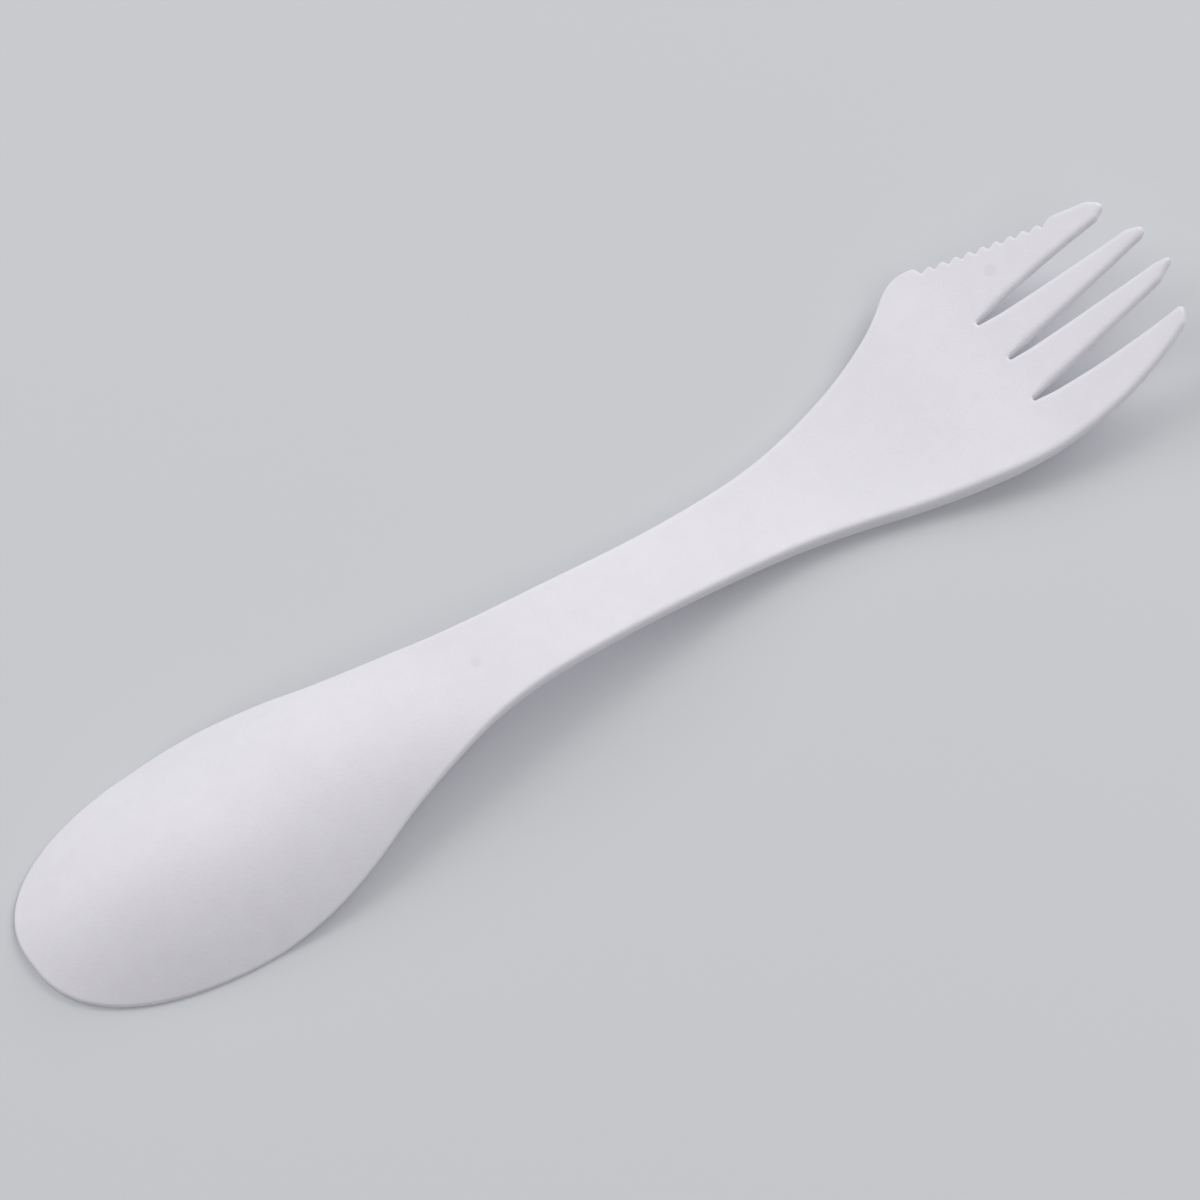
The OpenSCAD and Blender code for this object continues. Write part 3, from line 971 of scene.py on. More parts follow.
@dataclass
class Plan:
    """The moulding cut into triangles in plan, each of them in one zone.

    Rings of points follow the outline, at the turns of the top edge's rounding, in degrees, and at three
    distances beyond it. Points of the grid fill the rest.
    """

    outline: Outline
    grid: float = 0.8
    ring_turns: tuple[float, ...] = (13.0, 26.0, 38.0, 50.0, 64.0, 90.0)
    ring_beyond: tuple[float, ...] = (0.3, 0.65, 1.1)
    # A ring's point is kept where the whole outline is at least this share of its distance away
    ring_kept_share: float = 0.985
    # Gap between the innermost ring and the grid, as a share of the grid's step
    grid_gap_share: float = 0.55
    # Least distance from a cut of the points close to the outline, and of all others
    clearances: tuple[float, float] = (0.1, 0.3)
    # Sine of the turn from which an inner corner gets a fan of points, and the fan's shares of that turn
    corner_bend: float = 0.35
    fan_shares: tuple[float, ...] = (-0.66, -0.33, 0.33, 0.66)
    # Radii of a mark's rings as shares of its own, points on a ring as large as the mark, and the border
    # round its rings that other points keep out of
    mark_shares: tuple[float, ...] = (0, 0.3, 0.5, 0.62, 0.72, 0.8, 0.88, 1.0, 1.15)
    mark_points: int = 40
    mark_border: float = 0.25
    # Length of a straight cut that is left to the rings when the rest is divided into steps of the grid
    rings_room: float = 3.0
    # Least distance of the slots' ring points from the start of the tines
    start_room: float = 0.1
    # Step of the border along the teeth, and its least gap ahead of the points over the step's rounding
    border_step: float = 0.22
    border_room: float = 0.15
    # Points of the last straight cut give way to a junction within this share of the grid's step
    junction_share: float = 1 / 3
    points: np.ndarray = field(init=False)
    triangles: np.ndarray = field(init=False)
    zone: np.ndarray = field(init=False)
    cuts: list[tuple[int, int]] = field(init=False)
    edge_faces: dict[tuple[int, int], list[int]] = field(init=False, default_factory=dict)

    def __post_init__(self) -> None:
        """Places the points, joins them and parts the triangles."""
        self.near = Nearness(self.outline)
        cuts = self.zone_cuts()
        self.join(cuts, self.loose_points(cuts))
        self.part()

    def depths(self, radius: float) -> np.ndarray:
        """Distances of the rings from the outline for a rounding of that radius."""
        rounded = [radius * (1 - math.cos(math.radians(turn))) for turn in self.ring_turns]
        return np.array(rounded + [radius + gap for gap in self.ring_beyond])

    def across(self, start: int, end: int) -> np.ndarray:
        """Places the points of a cut straight across.

        Args:
            start: The outline's point that it starts on.
            end: The outline's point that it ends on.

        Returns:
            The points between those two.
        """
        points, radii = self.outline.points, self.outline.radii
        a, b = points[start], points[end]
        length = float(np.hypot(*(b - a)))
        near_a, near_b = self.depths(radii[start]), self.depths(radii[end])
        count = max(2, int((length - self.rings_room) / self.grid))
        inner = np.linspace(near_a[-1], length - near_b[-1], count)[1:-1]
        at = np.r_[near_a, inner, length - near_b[::-1]] / length
        return a + at[:, None] * (b - a)

    def tooth_cut(self) -> np.ndarray:
        """Places the points of the border along the teeth, which ends over the step's rounding.

        Returns:
            The points.
        """
        outline, form = self.outline, self.outline.form
        step = outline.corners["step"]
        slant = outline.points[step] - [form.border_end, float(form.tooth_border(form.border_end))]
        slant /= np.hypot(*slant)
        gaps = self.depths(outline.radii[step])[: len(self.ring_turns)] / abs(slant @ outline.normals()[step])
        rounded = outline.points[step] - gaps[::-1, None] * slant
        x = np.arange(form.tine_start, rounded[0, 0] - self.border_room, self.border_step)
        return np.r_[np.c_[x, form.tooth_border(x)], rounded]

    def zone_cuts(self) -> list[Cut]:
        """Lays the borders between the zones.

        Returns:
            The four straight ones, one from each slot's root to the last of those, and that of the teeth.
        """
        form, corners = self.outline.form, self.outline.corners
        cuts = []
        for zone in form.cuts:
            start, end = corners[zone.value + "_low"], corners[zone.value + "_high"]
            cuts.append(Cut(self.across(start, end), end, start))
        last = cuts[-1]
        for slot in form.slots:
            root = corners["root_" + slot.name]
            x, y = self.outline.points[root]
            gaps = self.depths(self.outline.radii[root])
            gaps = gaps[x - gaps > form.tine_start + self.start_room]
            cuts.append(Cut(np.c_[np.r_[form.tine_start, (x - gaps)[::-1]], np.full(len(gaps) + 1, y)], root))
        cuts.append(Cut(self.tooth_cut(), corners["step"]))
        for cut in cuts[len(form.cuts) :]:
            junction = cut.points[:1]
            clear = np.abs(last.points[:, 1] - junction[0, 1]) > self.grid * self.junction_share
            last.points = np.r_[last.points[clear], junction]
        last.points = last.points[np.argsort(last.points[:, 1])]
        return cuts

    def rings(self) -> list[np.ndarray]:
        """Places rings of points inside the outline, with a fan of them at each inner corner.

        Returns:
            The rings from the outline inwards. Those well inside have half as many points.
        """
        points, normals = self.outline.points, self.outline.normals()
        depths = np.array([self.depths(radius) for radius in self.outline.radii])
        along = np.roll(points, -1, 0) - points
        back = points - np.roll(points, 1, 0)
        bend = np.cross(back, along) / (np.hypot(*back.T) * np.hypot(*along.T))
        inner = np.nonzero(bend < -self.corner_bend)[0]
        turn = np.outer(np.arcsin(np.minimum(1, -bend[inner])), self.fan_shares)
        nx, ny = normals[inner].T[:, :, None]
        fan = np.stack([np.cos(turn) * nx - np.sin(turn) * ny, np.sin(turn) * nx + np.cos(turn) * ny], axis=2)
        rings = []
        for k, depth in enumerate(depths.T):
            spread = points[inner, None] + depth[inner, None, None] * fan
            ring = np.r_[points + normals * depth[:, None], spread.reshape(-1, 2)]
            wanted = np.r_[depth, np.repeat(depth[inner], len(self.fan_shares))]
            if k > len(self.ring_turns):
                ring, wanted = ring[::2], wanted[::2]
            true, _, _ = self.near.measure(ring)
            rings.append(ring[true > wanted * self.ring_kept_share])
        return rings

    def grid_points(self) -> np.ndarray:
        """Places a grid of equal triangles.

        Returns:
            Its points inside the outline and clear of the rings.
        """
        low, high = self.outline.points.min(0), self.outline.points.max(0)
        xs = np.arange(low[0], high[0], self.grid)
        ys = np.arange(low[1], high[1], self.grid * math.sqrt(3) / 2)
        gx, gy = np.meshgrid(xs, ys)
        gx = gx + (np.arange(len(ys)) % 2)[:, None] * self.grid / 2
        grid = np.c_[gx.ravel(), gy.ravel()]
        grid = grid[self.inside(grid)]
        true, _, radius = self.near.measure(grid)
        return grid[true > radius + self.ring_beyond[-1] + self.grid * self.grid_gap_share]

    def mark_rings(self, mark: Mark) -> np.ndarray:
        """Places the points that show a mark.

        Args:
            mark: The mark.

        Returns:
            The points of its rings.
        """
        rings = []
        for radius in self.mark_shares:
            angle = np.linspace(0, 2 * np.pi, max(1, int(radius * self.mark_points)), endpoint=False)
            rings.append(mark.radius * radius * np.c_[np.cos(angle), np.sin(angle)])
        return np.concatenate(rings) + [mark.x, mark.y]

    def loose_points(self, cuts: list[Cut]) -> np.ndarray:
        """Gathers the points of the rings, of the grid and of the marks.

        Args:
            cuts: The borders between the zones.

        Returns:
            Those points that are clear of the cuts and of the marks' borders.
        """
        form = self.outline.form
        close, far = self.clearances
        rings = self.rings()
        points = np.concatenate([*rings, self.grid_points()])
        close_count = sum(map(len, rings[: len(self.ring_turns) + 2]))
        limits = np.where(np.arange(len(points)) < close_count, close, far)
        for mark in form.marks:
            reach = mark.radius * self.mark_shares[-1] + self.mark_border
            free = np.hypot(points[:, 0] - mark.x, points[:, 1] - mark.y) >= reach
            points, limits = points[free], limits[free]
        spots = np.concatenate([self.mark_rings(mark) for mark in form.marks])
        points, limits = np.r_[points, spots], np.r_[limits, np.full(len(spots), far)]
        tree = search_tree(np.concatenate([cut.points for cut in cuts]))
        gaps = np.array([tree.find((x, y, 0))[2] for x, y in points])
        straight = np.abs(points[:, :1] - list(form.cuts.values())).min(1)
        return points[np.minimum(gaps, straight) > limits]

    def inside(self, places: np.ndarray) -> np.ndarray:
        """Tells which places lie inside the outline.

        Args:
            places: Places in plan.

        Returns:
            A truth value for each.
        """
        a = self.outline.points
        result = np.zeros(len(places), bool)
        for (ax, ay), (bx, by) in zip(a, np.roll(a, -1, 0)):
            if ay != by:
                straddles = (ay > places[:, 1]) != (by > places[:, 1])
                result ^= straddles & (places[:, 0] < (bx - ax) * (places[:, 1] - ay) / (by - ay) + ax)
        return result

    def join(self, cuts: list[Cut], loose: np.ndarray) -> None:
        """Joins all points to triangles that keep to the outline and to the cuts.

        Args:
            cuts: The borders between the zones.
            loose: The other points inside.
        """
        points = [tuple(p) for p in self.outline.points]
        n = len(points)
        edges = [(i, (i + 1) % n) for i in range(n)]
        known: dict[tuple[float, float], int] = {}
        for cut in cuts:
            chain = [] if cut.start is None else [cut.start]
            for x, y in cut.points:
                key = (round(float(x), 6), round(float(y), 6))
                if key not in known:
                    known[key] = len(points)
                    points.append((x, y))
                chain.append(known[key])
            chain.append(cut.end)
            edges += zip(chain, chain[1:])
        coords = [Vector(p) for p in [*points, *loose]]
        # The 1 asks for the triangles inside the outline only
        made = geometry.delaunay_2d_cdt(coords, edges, [list(range(n))], 1, SAME_POINT)
        self.points = np.array([tuple(p) for p in made[0]])
        self.triangles = np.array([tuple(f) for f in made[2]])
        own = range(n, len(edges))
        self.cuts = sorted(
            {tuple(sorted(edge)) for edge, use in zip(made[1], made[4]) if use and all(s in own for s in use)}
        )

    def edges_of(self, triangle: int) -> list[tuple[int, int]]:
        """The three edges of a triangle, each with its lower point first."""
        a, b, c = self.triangles[triangle]
        return [(min(edge), max(edge)) for edge in ((a, b), (b, c), (c, a))]

    def part(self) -> None:
        """Gives every triangle a zone by flooding up to the cuts."""
        cuts = set(self.cuts)
        for t in range(len(self.triangles)):
            for edge in self.edges_of(t):
                self.edge_faces.setdefault(edge, []).append(t)
        corners = self.points[self.triangles]
        centres = corners.mean(1)
        areas = np.cross(corners[:, 1] - corners[:, 0], corners[:, 2] - corners[:, 0])
        self.zone = np.full(len(self.triangles), None, object)
        for seed in range(len(self.triangles)):
            if self.zone[seed] is not None:
                continue
            stack, members = [seed], {seed}
            while stack:
                for edge in self.edges_of(stack.pop()):
                    fresh = set() if edge in cuts else set(self.edge_faces[edge]) - members
                    members |= fresh
                    stack += fresh
            flooded = sorted(members)
            self.zone[flooded] = self.zone_at(*np.average(centres[flooded], 0, areas[flooded]))
        log.info("plan: %d points, %d triangles", len(self.points), len(self.triangles))

    def zone_at(self, x: float, y: float) -> Zone:
        """Finds the zone whose middle is at a place.

        Args:
            x: Place along the spork.
            y: Place across it.

        Returns:
            The zone.
        """
        form = self.outline.form
        for zone, end in form.cuts.items():
            if x < end:
                return zone
        if form.tooth_border(x) < y and x < form.step_end:
            return Zone.TEETH
        tines = (Zone.TOOTHED_TINE, Zone.INNER_TOOTHED, Zone.INNER_PLAIN)
        return next((zone for zone, slot in zip(tines, form.slots) if y > slot.centre), Zone.PLAIN_TINE)


@dataclass
class Skin:
    """The moulding's closed surface, from the plan and the heights of its faces."""

    form: Moulding
    plan: Plan
    slope_step: float = 0.05
    slope_rounds: int = 3

    def __post_init__(self) -> None:
        """Lifts the plan to the top and the underside and works out the normals."""
        self.distance, self.inward, self.radius = self.plan.near.measure(self.plan.points)
        top, bottom = self.top(), self.bottom()
        self.coords = np.r_[np.c_[self.plan.points, top], np.c_[self.plan.points, bottom]]
        upper = self.plan.triangles
        corners = self.plan.points[upper]
        clockwise = np.cross(corners[:, 1] - corners[:, 0], corners[:, 2] - corners[:, 0]) < 0
        self.upper = np.where(clockwise[:, None], upper[:, ::-1], upper)
        self.lower = self.upper[:, ::-1] + len(self.plan.points)
        outer = [(edge, faces[0]) for edge, faces in self.plan.edge_faces.items() if len(faces) == 1]
        self.walls = np.array([self.wall(edge, face) for edge, face in outer])
        self.wall_zone = self.plan.zone[[face for _, face in outer]]
        self.normals = self.vertex_normals()
        log.info("skin: thinnest place %.2f mm", float((top - bottom).min()))

    def top(self) -> np.ndarray:
        """Rounds the top's edges, square to its slope there, and presses in the marks.

        Returns:
            Heights of the top at the plan's points.
        """
        form = self.form
        points, d, n, r = self.plan.points, self.distance, self.inward, self.radius
        tilt = np.zeros(len(points))
        for _ in range(self.slope_rounds):
            start = r * (1 - np.sin(tilt))
            inner = points + n * np.maximum(start - d, 0)[:, None]
            ahead = inner - n * self.slope_step
            tilt = np.arctan((form.over(*inner.T) - form.over(*ahead.T)) / self.slope_step)
        start = r * (1 - np.sin(tilt))
        arc = np.sqrt(np.maximum(r**2 - (r - np.minimum(d, r)) ** 2, 0)) - r * np.cos(tilt)
        height = form.over(*inner.T) + np.where(d < start, arc, 0)
        return height - sum(mark.depth * mark.share(points) for mark in form.marks)

    def bottom(self) -> np.ndarray:
        """Rounds the underside's edges.

        Returns:
            Heights of the underside at the plan's points.
        """
        d, r = self.distance, self.form.foot_round
        lift = r - np.sqrt(np.maximum(r**2 - (r - np.minimum(d, r)) ** 2, 0))
        return self.form.under(*self.plan.points.T) + lift

    def wall(self, edge: tuple[int, int], face: int) -> tuple[int, int, int, int]:
        """Finds the upright face over an edge.

        Args:
            edge: An edge of the plan.
            face: The triangle beside it that the wall closes.

        Returns:
            The wall's corners, anticlockwise from outside.
        """
        ring, n = list(self.upper[face]), len(self.plan.points)
        first, second = edge if ring[(ring.index(edge[0]) + 1) % 3] == edge[1] else edge[::-1]
        return (first + n, second + n, second, first)

    def vertex_normals(self) -> np.ndarray:
        """Works out the normals of the whole closed surface, weighted by the corners' angles.

        Returns:
            Unit vectors, for the top's points and then for the underside's.
        """
        faces = np.r_[self.upper, self.lower, self.walls[:, [0, 1, 2]], self.walls[:, [0, 2, 3]]]
        corner = self.coords[faces]
        flat = np.cross(corner[:, 1] - corner[:, 0], corner[:, 2] - corner[:, 0])
        flat /= np.maximum(np.linalg.norm(flat, axis=1), TINY)[:, None]
        total = np.zeros_like(self.coords)
        for k in range(3):
            u = corner[:, (k + 1) % 3] - corner[:, k]
            v = corner[:, (k + 2) % 3] - corner[:, k]
            lengths = np.linalg.norm(u, axis=1) * np.linalg.norm(v, axis=1)
            angle = np.arccos(np.clip(np.sum(u * v, 1) / np.maximum(lengths, TINY), -1, 1))
            np.add.at(total, faces[:, k], flat * angle[:, None])
        return total / np.maximum(np.linalg.norm(total, axis=1), TINY)[:, None]

    def caps(self, zone: Zone) -> list[tuple[int, int, int, int]]:
        """Finds the flat faces that close a zone where it meets its neighbours.

        Args:
            zone: The zone.

        Returns:
            Their corners.
        """
        caps = []
        for edge in self.plan.cuts:
            mine = [t for t in self.plan.edge_faces[edge] if self.plan.zone[t] is zone]
            if len(mine) == 1:
                caps.append(self.wall(edge, mine[0]))
        return caps

    def piece(self, zone: Zone, shift: Vector) -> bpy.types.Object:
        """Builds the mesh of one zone.

        Args:
            zone: The zone to build.
            shift: From the outline's frame to the row frame, in millimetres.

        Returns:
            The new object, linked to the scene.
        """
        name = "moulded_" + zone.value
        mine = self.plan.zone == zone
        skin = [*self.upper[mine], *self.lower[mine], *self.walls[self.wall_zone == zone]]
        caps = self.caps(zone)
        faces = [[int(i) for i in face] for face in [*skin, *caps]]
        used = sorted({i for face in faces for i in face})
        place = {old: new for new, old in enumerate(used)}
        coords = (self.coords[used] + np.array(shift)) * MM
        mesh = bpy.data.meshes.new(name)
        mesh.from_pydata(coords.tolist(), [], [[place[i] for i in face] for face in faces])
        mesh.polygons.foreach_set("use_smooth", [True] * len(faces))
        split = [tuple(self.normals[i]) for face in faces[: len(skin)] for i in face]
        for cap in caps:
            a, b, c, _ = (Vector(self.coords[i]) for i in cap)
            split += [tuple((b - a).cross(c - b).normalized())] * len(cap)
        mesh.update()
        mesh.normals_split_custom_set(split)
        pressed = sum(mark.share(self.plan.points) for mark in self.form.marks)
        layers = {EDGE_ATTRIBUTE: (self.distance, self.distance), MARK_ATTRIBUTE: (pressed, 0 * pressed)}
        for label, (upper, lower) in layers.items():
            layer = mesh.attributes.new(label, "FLOAT", "POINT")
            layer.data.foreach_set("value", np.r_[upper, lower][used].astype(np.float32))
        piece = bpy.data.objects.new(name, mesh)
        bpy.context.scene.collection.objects.link(piece)
        return piece

    def dress(self, material: bpy.types.Material, shift: Vector) -> None:
        """Builds the pieces, gives them their finish and ties them to the frame.

        Args:
            material: The finish.
            shift: From the outline's frame to the row frame, in millimetres.
        """
        for zone in Zone:
            piece = self.piece(zone, shift)
            piece.data.materials.append(material)
            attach(piece, BODY)
            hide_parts(zone.value)
            log.info("%s: %d faces", piece.name, len(piece.data.polygons))


def linear(hex_colour: str) -> tuple[float, float, float, float]:
    """Turns an sRGB hex colour to linear values with full alpha."""
    channels = [int(hex_colour[k : k + 2], 16) / 255 for k in (1, 3, 5)]
    return (*(c / 12.92 if c <= 0.04045 else ((c + 0.055) / 1.055) ** 2.4 for c in channels), 1.0)


def add_node(
    tree: bpy.types.NodeTree, kind: str, settings: dict[str | int, Any] | None = None, **links: Any
) -> Any:
    """Adds a node with its settings and links.

    Args:
        tree: The material's or world's node tree.
        kind: The node's type name.
        settings: Properties to set, or input sockets by name or number.
        **links: Sockets to link to inputs, by input name with spaces as underscores.

    Returns:
        The new node.
    """
    node = tree.nodes.new(kind)
    for key, value in (settings or {}).items():
        if isinstance(key, int) or key in node.inputs:
            node.inputs[key].default_value = value
        else:
            setattr(node, key, value)
    for key, socket in links.items():
        target = int(key[1:]) if key[0] == "_" else key.replace("_", " ")
        tree.links.new(socket, node.inputs[target])
    return node


@dataclass(frozen=True)
class Pattern:
    """A noise: the size of its features in millimetres, and how many finer layers it has."""

    size: float
    detail: float


@dataclass(frozen=True)
class Scratches:
    """A set of fine scratches that run one way, lengths in millimetres."""

    angle: float
    length: float
    width: float
    seed: float
    cut_from: float = 0.71
    cut_to: float = 0.77

    def height(self, tree: bpy.types.NodeTree, place: Any) -> Any:
        """Adds the nodes for the scratches.

        Args:
            tree: The material's node tree.
            place: Socket with the place on the piece.

        Returns:
            A socket that is one in a scratch and zero beside it.
        """
        stretch = {
            "Location": (self.seed, self.seed, 0),
            "Rotation": (0, 0, math.radians(self.angle)),
            "Scale": (1 / (self.length * MM), 1 / (self.width * MM), 1 / (self.length * MM)),
        }
        turned = add_node(tree, "ShaderNodeMapping", stretch, Vector=place).outputs["Vector"]
        streak = add_node(tree, "ShaderNodeTexNoise", {"Scale": 1.0, "Detail": 1.0}, Vector=turned)
        limits = {"From Min": self.cut_from, "From Max": self.cut_to}
        return add_node(tree, "ShaderNodeMapRange", limits, Value=streak.outputs["Fac"]).outputs["Result"]


@dataclass(frozen=True)
class MouldedPolypropylene:
    """White polypropylene, injection moulded in a spark-eroded mould and wiped clean a few times.

    It is what gives the eye a soft satin white, a little cooler where the melt cooled slowly. The cloud is
    the uneven shrinkage of the skin and the mottle the melt's flow. The grain and the fine grain are the
    mould's spark-eroded texture, drawn coarser than the real one, which is too fine to show. Wear polishes
    the edges, uneven handling changes the roughness from place to place, and scratches come where the
    spork was handled most. The marks that the mould's pins pressed in are a touch darker.
    """

    colour: str = "#E7E5EB"
    shade: str = "#E1DFE6"
    pressed: str = "#DFDDE4"
    roughness: float = 0.55
    roughness_spread: tuple[float, float] = (-0.05, 0.06)
    ior: float = 1.49
    patterns: tuple[tuple[str, Pattern], ...] = (
        ("cloud", Pattern(25.0, 2.0)),
        ("mottle", Pattern(2.6, 3.0)),
        ("handling", Pattern(17.0, 1.0)),
        ("uneven", Pattern(6.0, 3.0)),
        ("grain", Pattern(0.45, 2.0)),
        ("fine_grain", Pattern(0.2, 1.0)),
    )
    mottle_share: float = 0.4
    tone_limits: tuple[float, float] = (0.3, 0.7)
    handled_limits: tuple[float, float] = (0.45, 0.62)
    fine_grain_share: float = 0.5
    grain_height: float = 0.03
    scratch_height: float = 0.008
    scratch_roughness: float = 0.12
    worn_edge: float = 1.1
    worn_roughness: float = -0.07
    scratches: tuple[Scratches, ...] = (Scratches(28, 14, 0.16, 3.1), Scratches(-41, 9, 0.13, 7.7))

    def tone(self, tree: bpy.types.NodeTree, noises: dict[str, Any]) -> Any:
        """Adds the colour: slow and fine variation, and a darker skin where a pin pressed.

        Args:
            tree: The material's node tree.
            noises: Sockets with the patterns' values.

        Returns:
            The colour's socket.
        """
        blend = {0: self.mottle_share}
        mixed = add_node(tree, "ShaderNodeMix", blend, _2=noises["cloud"], _3=noises["mottle"]).outputs[0]
        limits = dict(zip(("From Min", "From Max"), self.tone_limits))
        drift = add_node(tree, "ShaderNodeMapRange", limits, Value=mixed).outputs["Result"]
        colours = {"data_type": "RGBA", 6: linear(self.colour), 7: linear(self.shade)}
        plain = add_node(tree, "ShaderNodeMix", colours, Factor=drift).outputs[2]
        pin = add_node(tree, "ShaderNodeAttribute", {"attribute_name": MARK_ATTRIBUTE}).outputs["Fac"]
        darker = {"data_type": "RGBA", 7: linear(self.pressed)}
        return add_node(tree, "ShaderNodeMix", darker, _0=pin, _6=plain).outputs[2]

    def wear(self, tree: bpy.types.NodeTree, place: Any, noises: dict[str, Any]) -> Any:
        """Adds the scratches, which show only where the spork was handled most.

        Args:
            tree: The material's node tree.
            place: Socket with the place on the piece.
            noises: Sockets with the patterns' values.

        Returns:
            A socket that is one in a scratch and zero beside it.
        """
        limits = dict(zip(("From Min", "From Max"), self.handled_limits))
        handled = add_node(tree, "ShaderNodeMapRange", limits, Value=noises["handling"]).outputs["Result"]
        one, other = (scratches.height(tree, place) for scratches in self.scratches)
        both = add_node(tree, "ShaderNodeMath", {"operation": "ADD"}, _0=one, _1=other).outputs[0]
        return add_node(tree, "ShaderNodeMath", {"operation": "MULTIPLY"}, _0=both, _1=handled).outputs[0]

    def sheen(self, tree: bpy.types.NodeTree, scratched: Any, noises: dict[str, Any]) -> Any:
        """Adds the roughness: uneven, smoother along worn edges and rougher in scratches.

        Args:
            tree: The material's node tree.
            scratched: Socket with the scratches.
            noises: Sockets with the patterns' values.

        Returns:
            The roughness's socket.
        """
        edge = add_node(tree, "ShaderNodeAttribute", {"attribute_name": EDGE_ATTRIBUTE}).outputs["Fac"]
        fade = {"From Max": self.worn_edge, "To Min": self.worn_roughness, "To Max": 0.0}
        worn = add_node(tree, "ShaderNodeMapRange", fade, Value=edge).outputs["Result"]
        low, high = self.roughness_spread
        spread = {"To Min": self.roughness + low, "To Max": self.roughness + high}
        uneven = add_node(tree, "ShaderNodeMapRange", spread, Value=noises["uneven"]).outputs["Result"]
        base = add_node(tree, "ShaderNodeMath", {"operation": "ADD"}, _0=uneven, _1=worn).outputs[0]
        added = {"operation": "MULTIPLY_ADD", 1: self.scratch_roughness}
        return add_node(tree, "ShaderNodeMath", added, _0=scratched, _2=base).outputs[0]

    def build(self) -> bpy.types.Material:
        """Makes the material.

        Returns:
            The new material.
        """
        material = bpy.data.materials.new("moulded_polypropylene")
        material.use_nodes = True
        tree = material.node_tree
        tree.nodes.clear()
        place = add_node(tree, "ShaderNodeTexCoord").outputs["Object"]
        noises = {}
        for name, pattern in self.patterns:
            scale = {"Scale": 1 / (pattern.size * MM), "Detail": pattern.detail}
            noises[name] = add_node(tree, "ShaderNodeTexNoise", scale, Vector=place).outputs["Fac"]
        scratched = self.wear(tree, place, noises)
        fine = {"operation": "MULTIPLY_ADD", 1: self.fine_grain_share}
        both = add_node(tree, "ShaderNodeMath", fine, _0=noises["fine_grain"], _2=noises["grain"])
        bump = {"Strength": 1.0, "Distance": self.grain_height * MM}
        grain = add_node(tree, "ShaderNodeBump", bump, Height=both.outputs[0]).outputs["Normal"]
        groove = {"Strength": 1.0, "Distance": self.scratch_height * MM, "invert": True}
        cut = add_node(tree, "ShaderNodeBump", groove, Height=scratched, Normal=grain).outputs["Normal"]
        shader = add_node(
            tree,
            "ShaderNodeBsdfPrincipled",
            {"IOR": self.ior},
            Base_Color=self.tone(tree, noises),
            Roughness=self.sheen(tree, scratched, noises),
            Normal=cut,
        )
        add_node(tree, "ShaderNodeOutputMaterial", Surface=shader.outputs["BSDF"])
        return material


@dataclass(frozen=True)
class Lamp:
    """A square soft box that faces the image's centre on the floor, sizes in metres and watts.

    Its direction is given as degrees clockwise from the top of the image and degrees above the floor.
    """

    name: str
    turn: float
    elevation: float
    power: float
    size: float = 1.2
    distance: float = 1.6


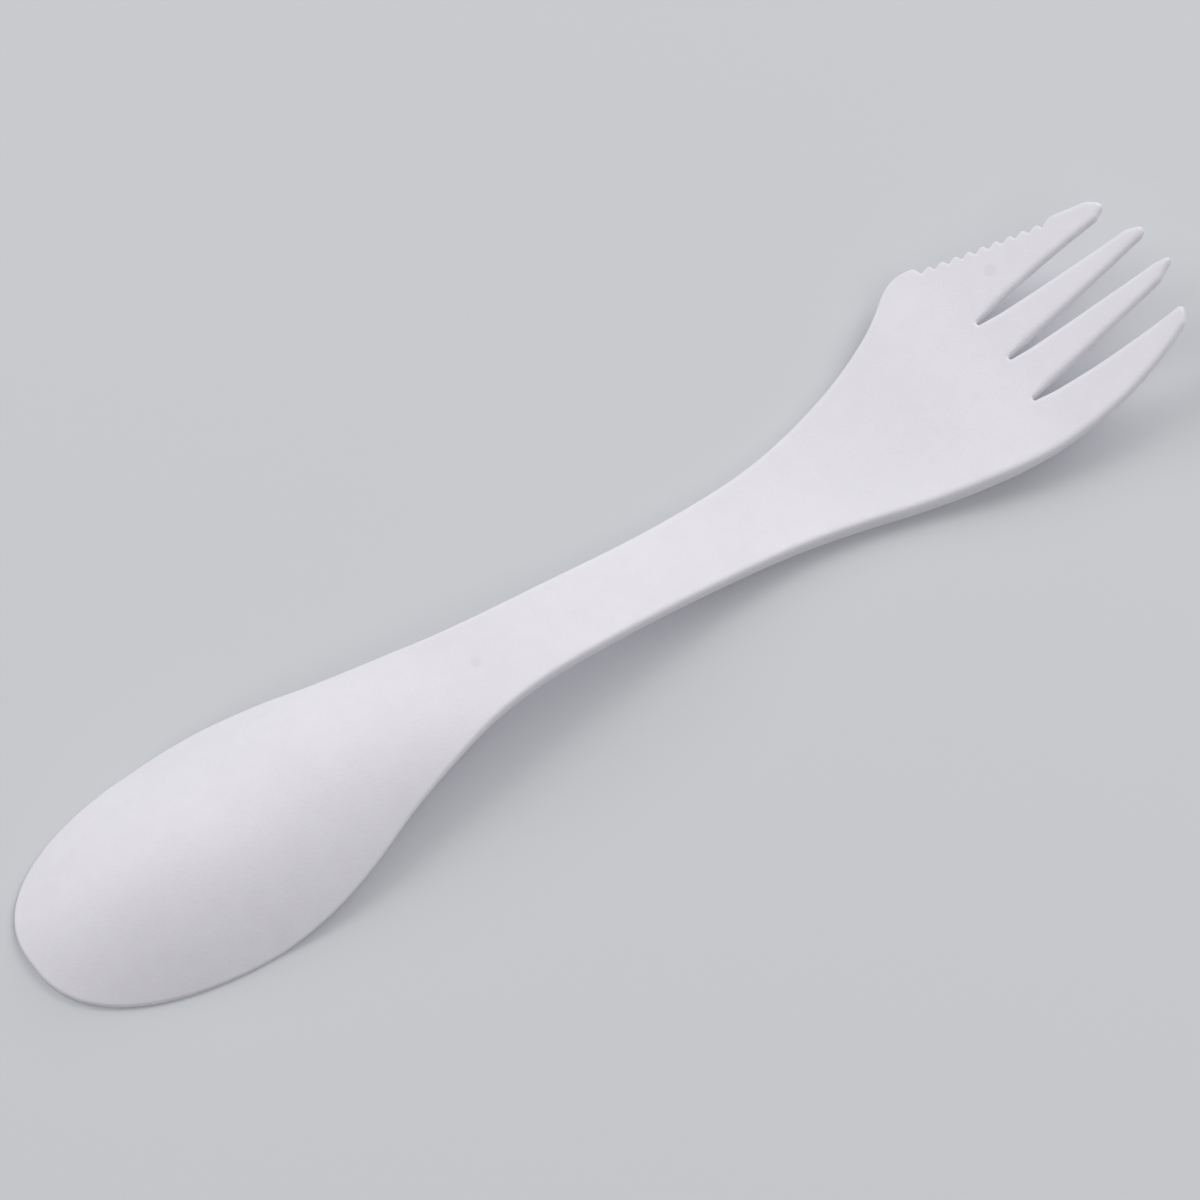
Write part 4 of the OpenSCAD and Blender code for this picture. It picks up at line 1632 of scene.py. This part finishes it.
@dataclass(frozen=True)
class Studio:
    """A pale floor, soft lamps and the camera, whose place is given in millimetres and pixels."""

    floor_colour: str = "#C9CBCF"
    floor_size: float = 6.0
    floor_roughness: float = 0.7
    sky_colour: str = "#FFFFFF"
    sky_strength: float = 0.25
    lamps: tuple[Lamp, ...] = (
        Lamp("left", 291, 37, 12.4),
        Lamp("right", 38, 36, 14.2),
        Lamp("front", 138, 56, 6.2),
        Lamp("under", 0, -90, 4.5, 0.3),
    )
    elevation: float = 58.0
    turn: float = 35.5346
    distance: float = 1052.52
    focal: float = 8500.0
    frame_pixels: float = 1200.0
    bowl_tip: tuple[float, float] = (-68.263, -52.447)
    sensor: float = 36.0
    clip: tuple[float, float] = (0.01, 20.0)

    def to_row(self, right: float, up: float, shift: Vector) -> Vector:
        """Turns a place on the floor into the row frame.

        Args:
            right: Distance from the image's centre to the right.
            up: Distance from it towards the top.
            shift: From the outline's frame to the row frame, in millimetres.

        Returns:
            The place in metres.
        """
        turn = math.radians(self.turn)
        dx, dy = right - self.bowl_tip[0], up - self.bowl_tip[1]
        x = dx * math.cos(turn) + dy * math.sin(turn)
        y = -dx * math.sin(turn) + dy * math.cos(turn)
        return (Vector((x, y, 0)) + Vector((shift.x, shift.y, 0))) * MM

    def aim(self, item: bpy.types.Object, place: Vector, shift: Vector) -> None:
        """Puts a lamp or the camera in its place, facing the image's centre on the floor.

        Args:
            item: The lamp or the camera.
            place: Its place.
            shift: From the outline's frame to the row frame, in millimetres.
        """
        item.location = place
        item.rotation_mode = "QUATERNION"
        item.rotation_quaternion = (self.to_row(0, 0, shift) - place).to_track_quat("-Z", "Y")
        bpy.context.scene.collection.objects.link(item)

    def add_camera(self, shift: Vector) -> None:
        """Places the camera as the photograph's.

        Args:
            shift: From the outline's frame to the row frame, in millimetres.
        """
        tilt = math.radians(90 - self.elevation)
        under = self.to_row(0, -self.distance * math.sin(tilt), shift)
        data = bpy.data.cameras.new("camera")
        data.sensor_width = self.sensor
        data.lens = self.focal / self.frame_pixels * self.sensor
        data.clip_start, data.clip_end = self.clip
        camera = bpy.data.objects.new("camera", data)
        self.aim(camera, under + Vector((0, 0, self.distance * math.cos(tilt) * MM)), shift)
        bpy.context.scene.camera = camera

    def add_floor(self) -> None:
        """Lays the floor, which can be seen and lit through from below."""
        half = self.floor_size / 2
        corners = [(-half, -half, 0), (half, -half, 0), (half, half, 0), (-half, half, 0)]
        mesh = bpy.data.meshes.new("floor")
        mesh.from_pydata(corners, [], [(0, 1, 2, 3)])
        floor = bpy.data.objects.new("floor", mesh)
        bpy.context.scene.collection.objects.link(floor)
        # Uncoated paper as it comes from the machine, which gives the eye an even, matte grey
        material = bpy.data.materials.new("matte_paper")
        material.use_nodes = True
        tree = material.node_tree
        tree.nodes.clear()
        finish = {"Base Color": linear(self.floor_colour), "Roughness": self.floor_roughness}
        paper = add_node(tree, "ShaderNodeBsdfPrincipled", finish).outputs[0]
        clear = add_node(tree, "ShaderNodeBsdfTransparent").outputs[0]
        below = add_node(tree, "ShaderNodeNewGeometry").outputs["Backfacing"]
        mix = add_node(tree, "ShaderNodeMixShader", None, _0=below, _1=paper, _2=clear)
        add_node(tree, "ShaderNodeOutputMaterial", Surface=mix.outputs[0])
        mesh.materials.append(material)
        floor.visible_shadow = False

    def add_lamps(self, shift: Vector) -> None:
        """Hangs the lamps.

        Args:
            shift: From the outline's frame to the row frame, in millimetres.
        """
        for lamp in self.lamps:
            data = bpy.data.lights.new(lamp.name, "AREA")
            data.shape, data.size, data.energy = "SQUARE", lamp.size, lamp.power
            turn, rise = math.radians(lamp.turn), math.radians(lamp.elevation)
            out = lamp.distance * math.cos(rise) / MM
            spot = self.to_row(out * math.sin(turn), out * math.cos(turn), shift)
            place = Vector((spot.x, spot.y, lamp.distance * math.sin(rise)))
            self.aim(bpy.data.objects.new(lamp.name, data), place, shift)

    def add_world(self) -> None:
        """Sets a dim white sky, which the camera sees in the floor's colour."""
        world = bpy.data.worlds.new("studio")
        world.use_nodes = True
        tree = world.node_tree
        tree.nodes.clear()
        white = {"Color": linear(self.sky_colour), "Strength": self.sky_strength}
        sky = add_node(tree, "ShaderNodeBackground", white).outputs[0]
        pale = {"Color": linear(self.floor_colour), "Strength": 1.0}
        seen = add_node(tree, "ShaderNodeBackground", pale).outputs[0]
        path = add_node(tree, "ShaderNodeLightPath").outputs["Is Camera Ray"]
        mix = add_node(tree, "ShaderNodeMixShader", None, _0=path, _1=sky, _2=seen)
        add_node(tree, "ShaderNodeOutputWorld", Surface=mix.outputs[0])
        bpy.context.scene.world = world


def main() -> None:
    """Builds the spork and its studio."""
    logging.basicConfig(level=logging.INFO, format="%(message)s", stream=sys.stdout)
    form = Moulding()
    skin = Skin(form, Plan(Outline(form)))
    low = CAD_BOX[0]
    shift = Vector((low.x / MM, low.y / MM + form.spoon.width / 2, 0))
    skin.dress(MouldedPolypropylene().build(), shift)
    studio = Studio()
    studio.add_camera(shift)
    studio.add_floor()
    studio.add_lamps(shift)
    studio.add_world()
    bpy.context.scene.view_settings.view_transform = "Standard"


if __name__ == "__main__":
    main()
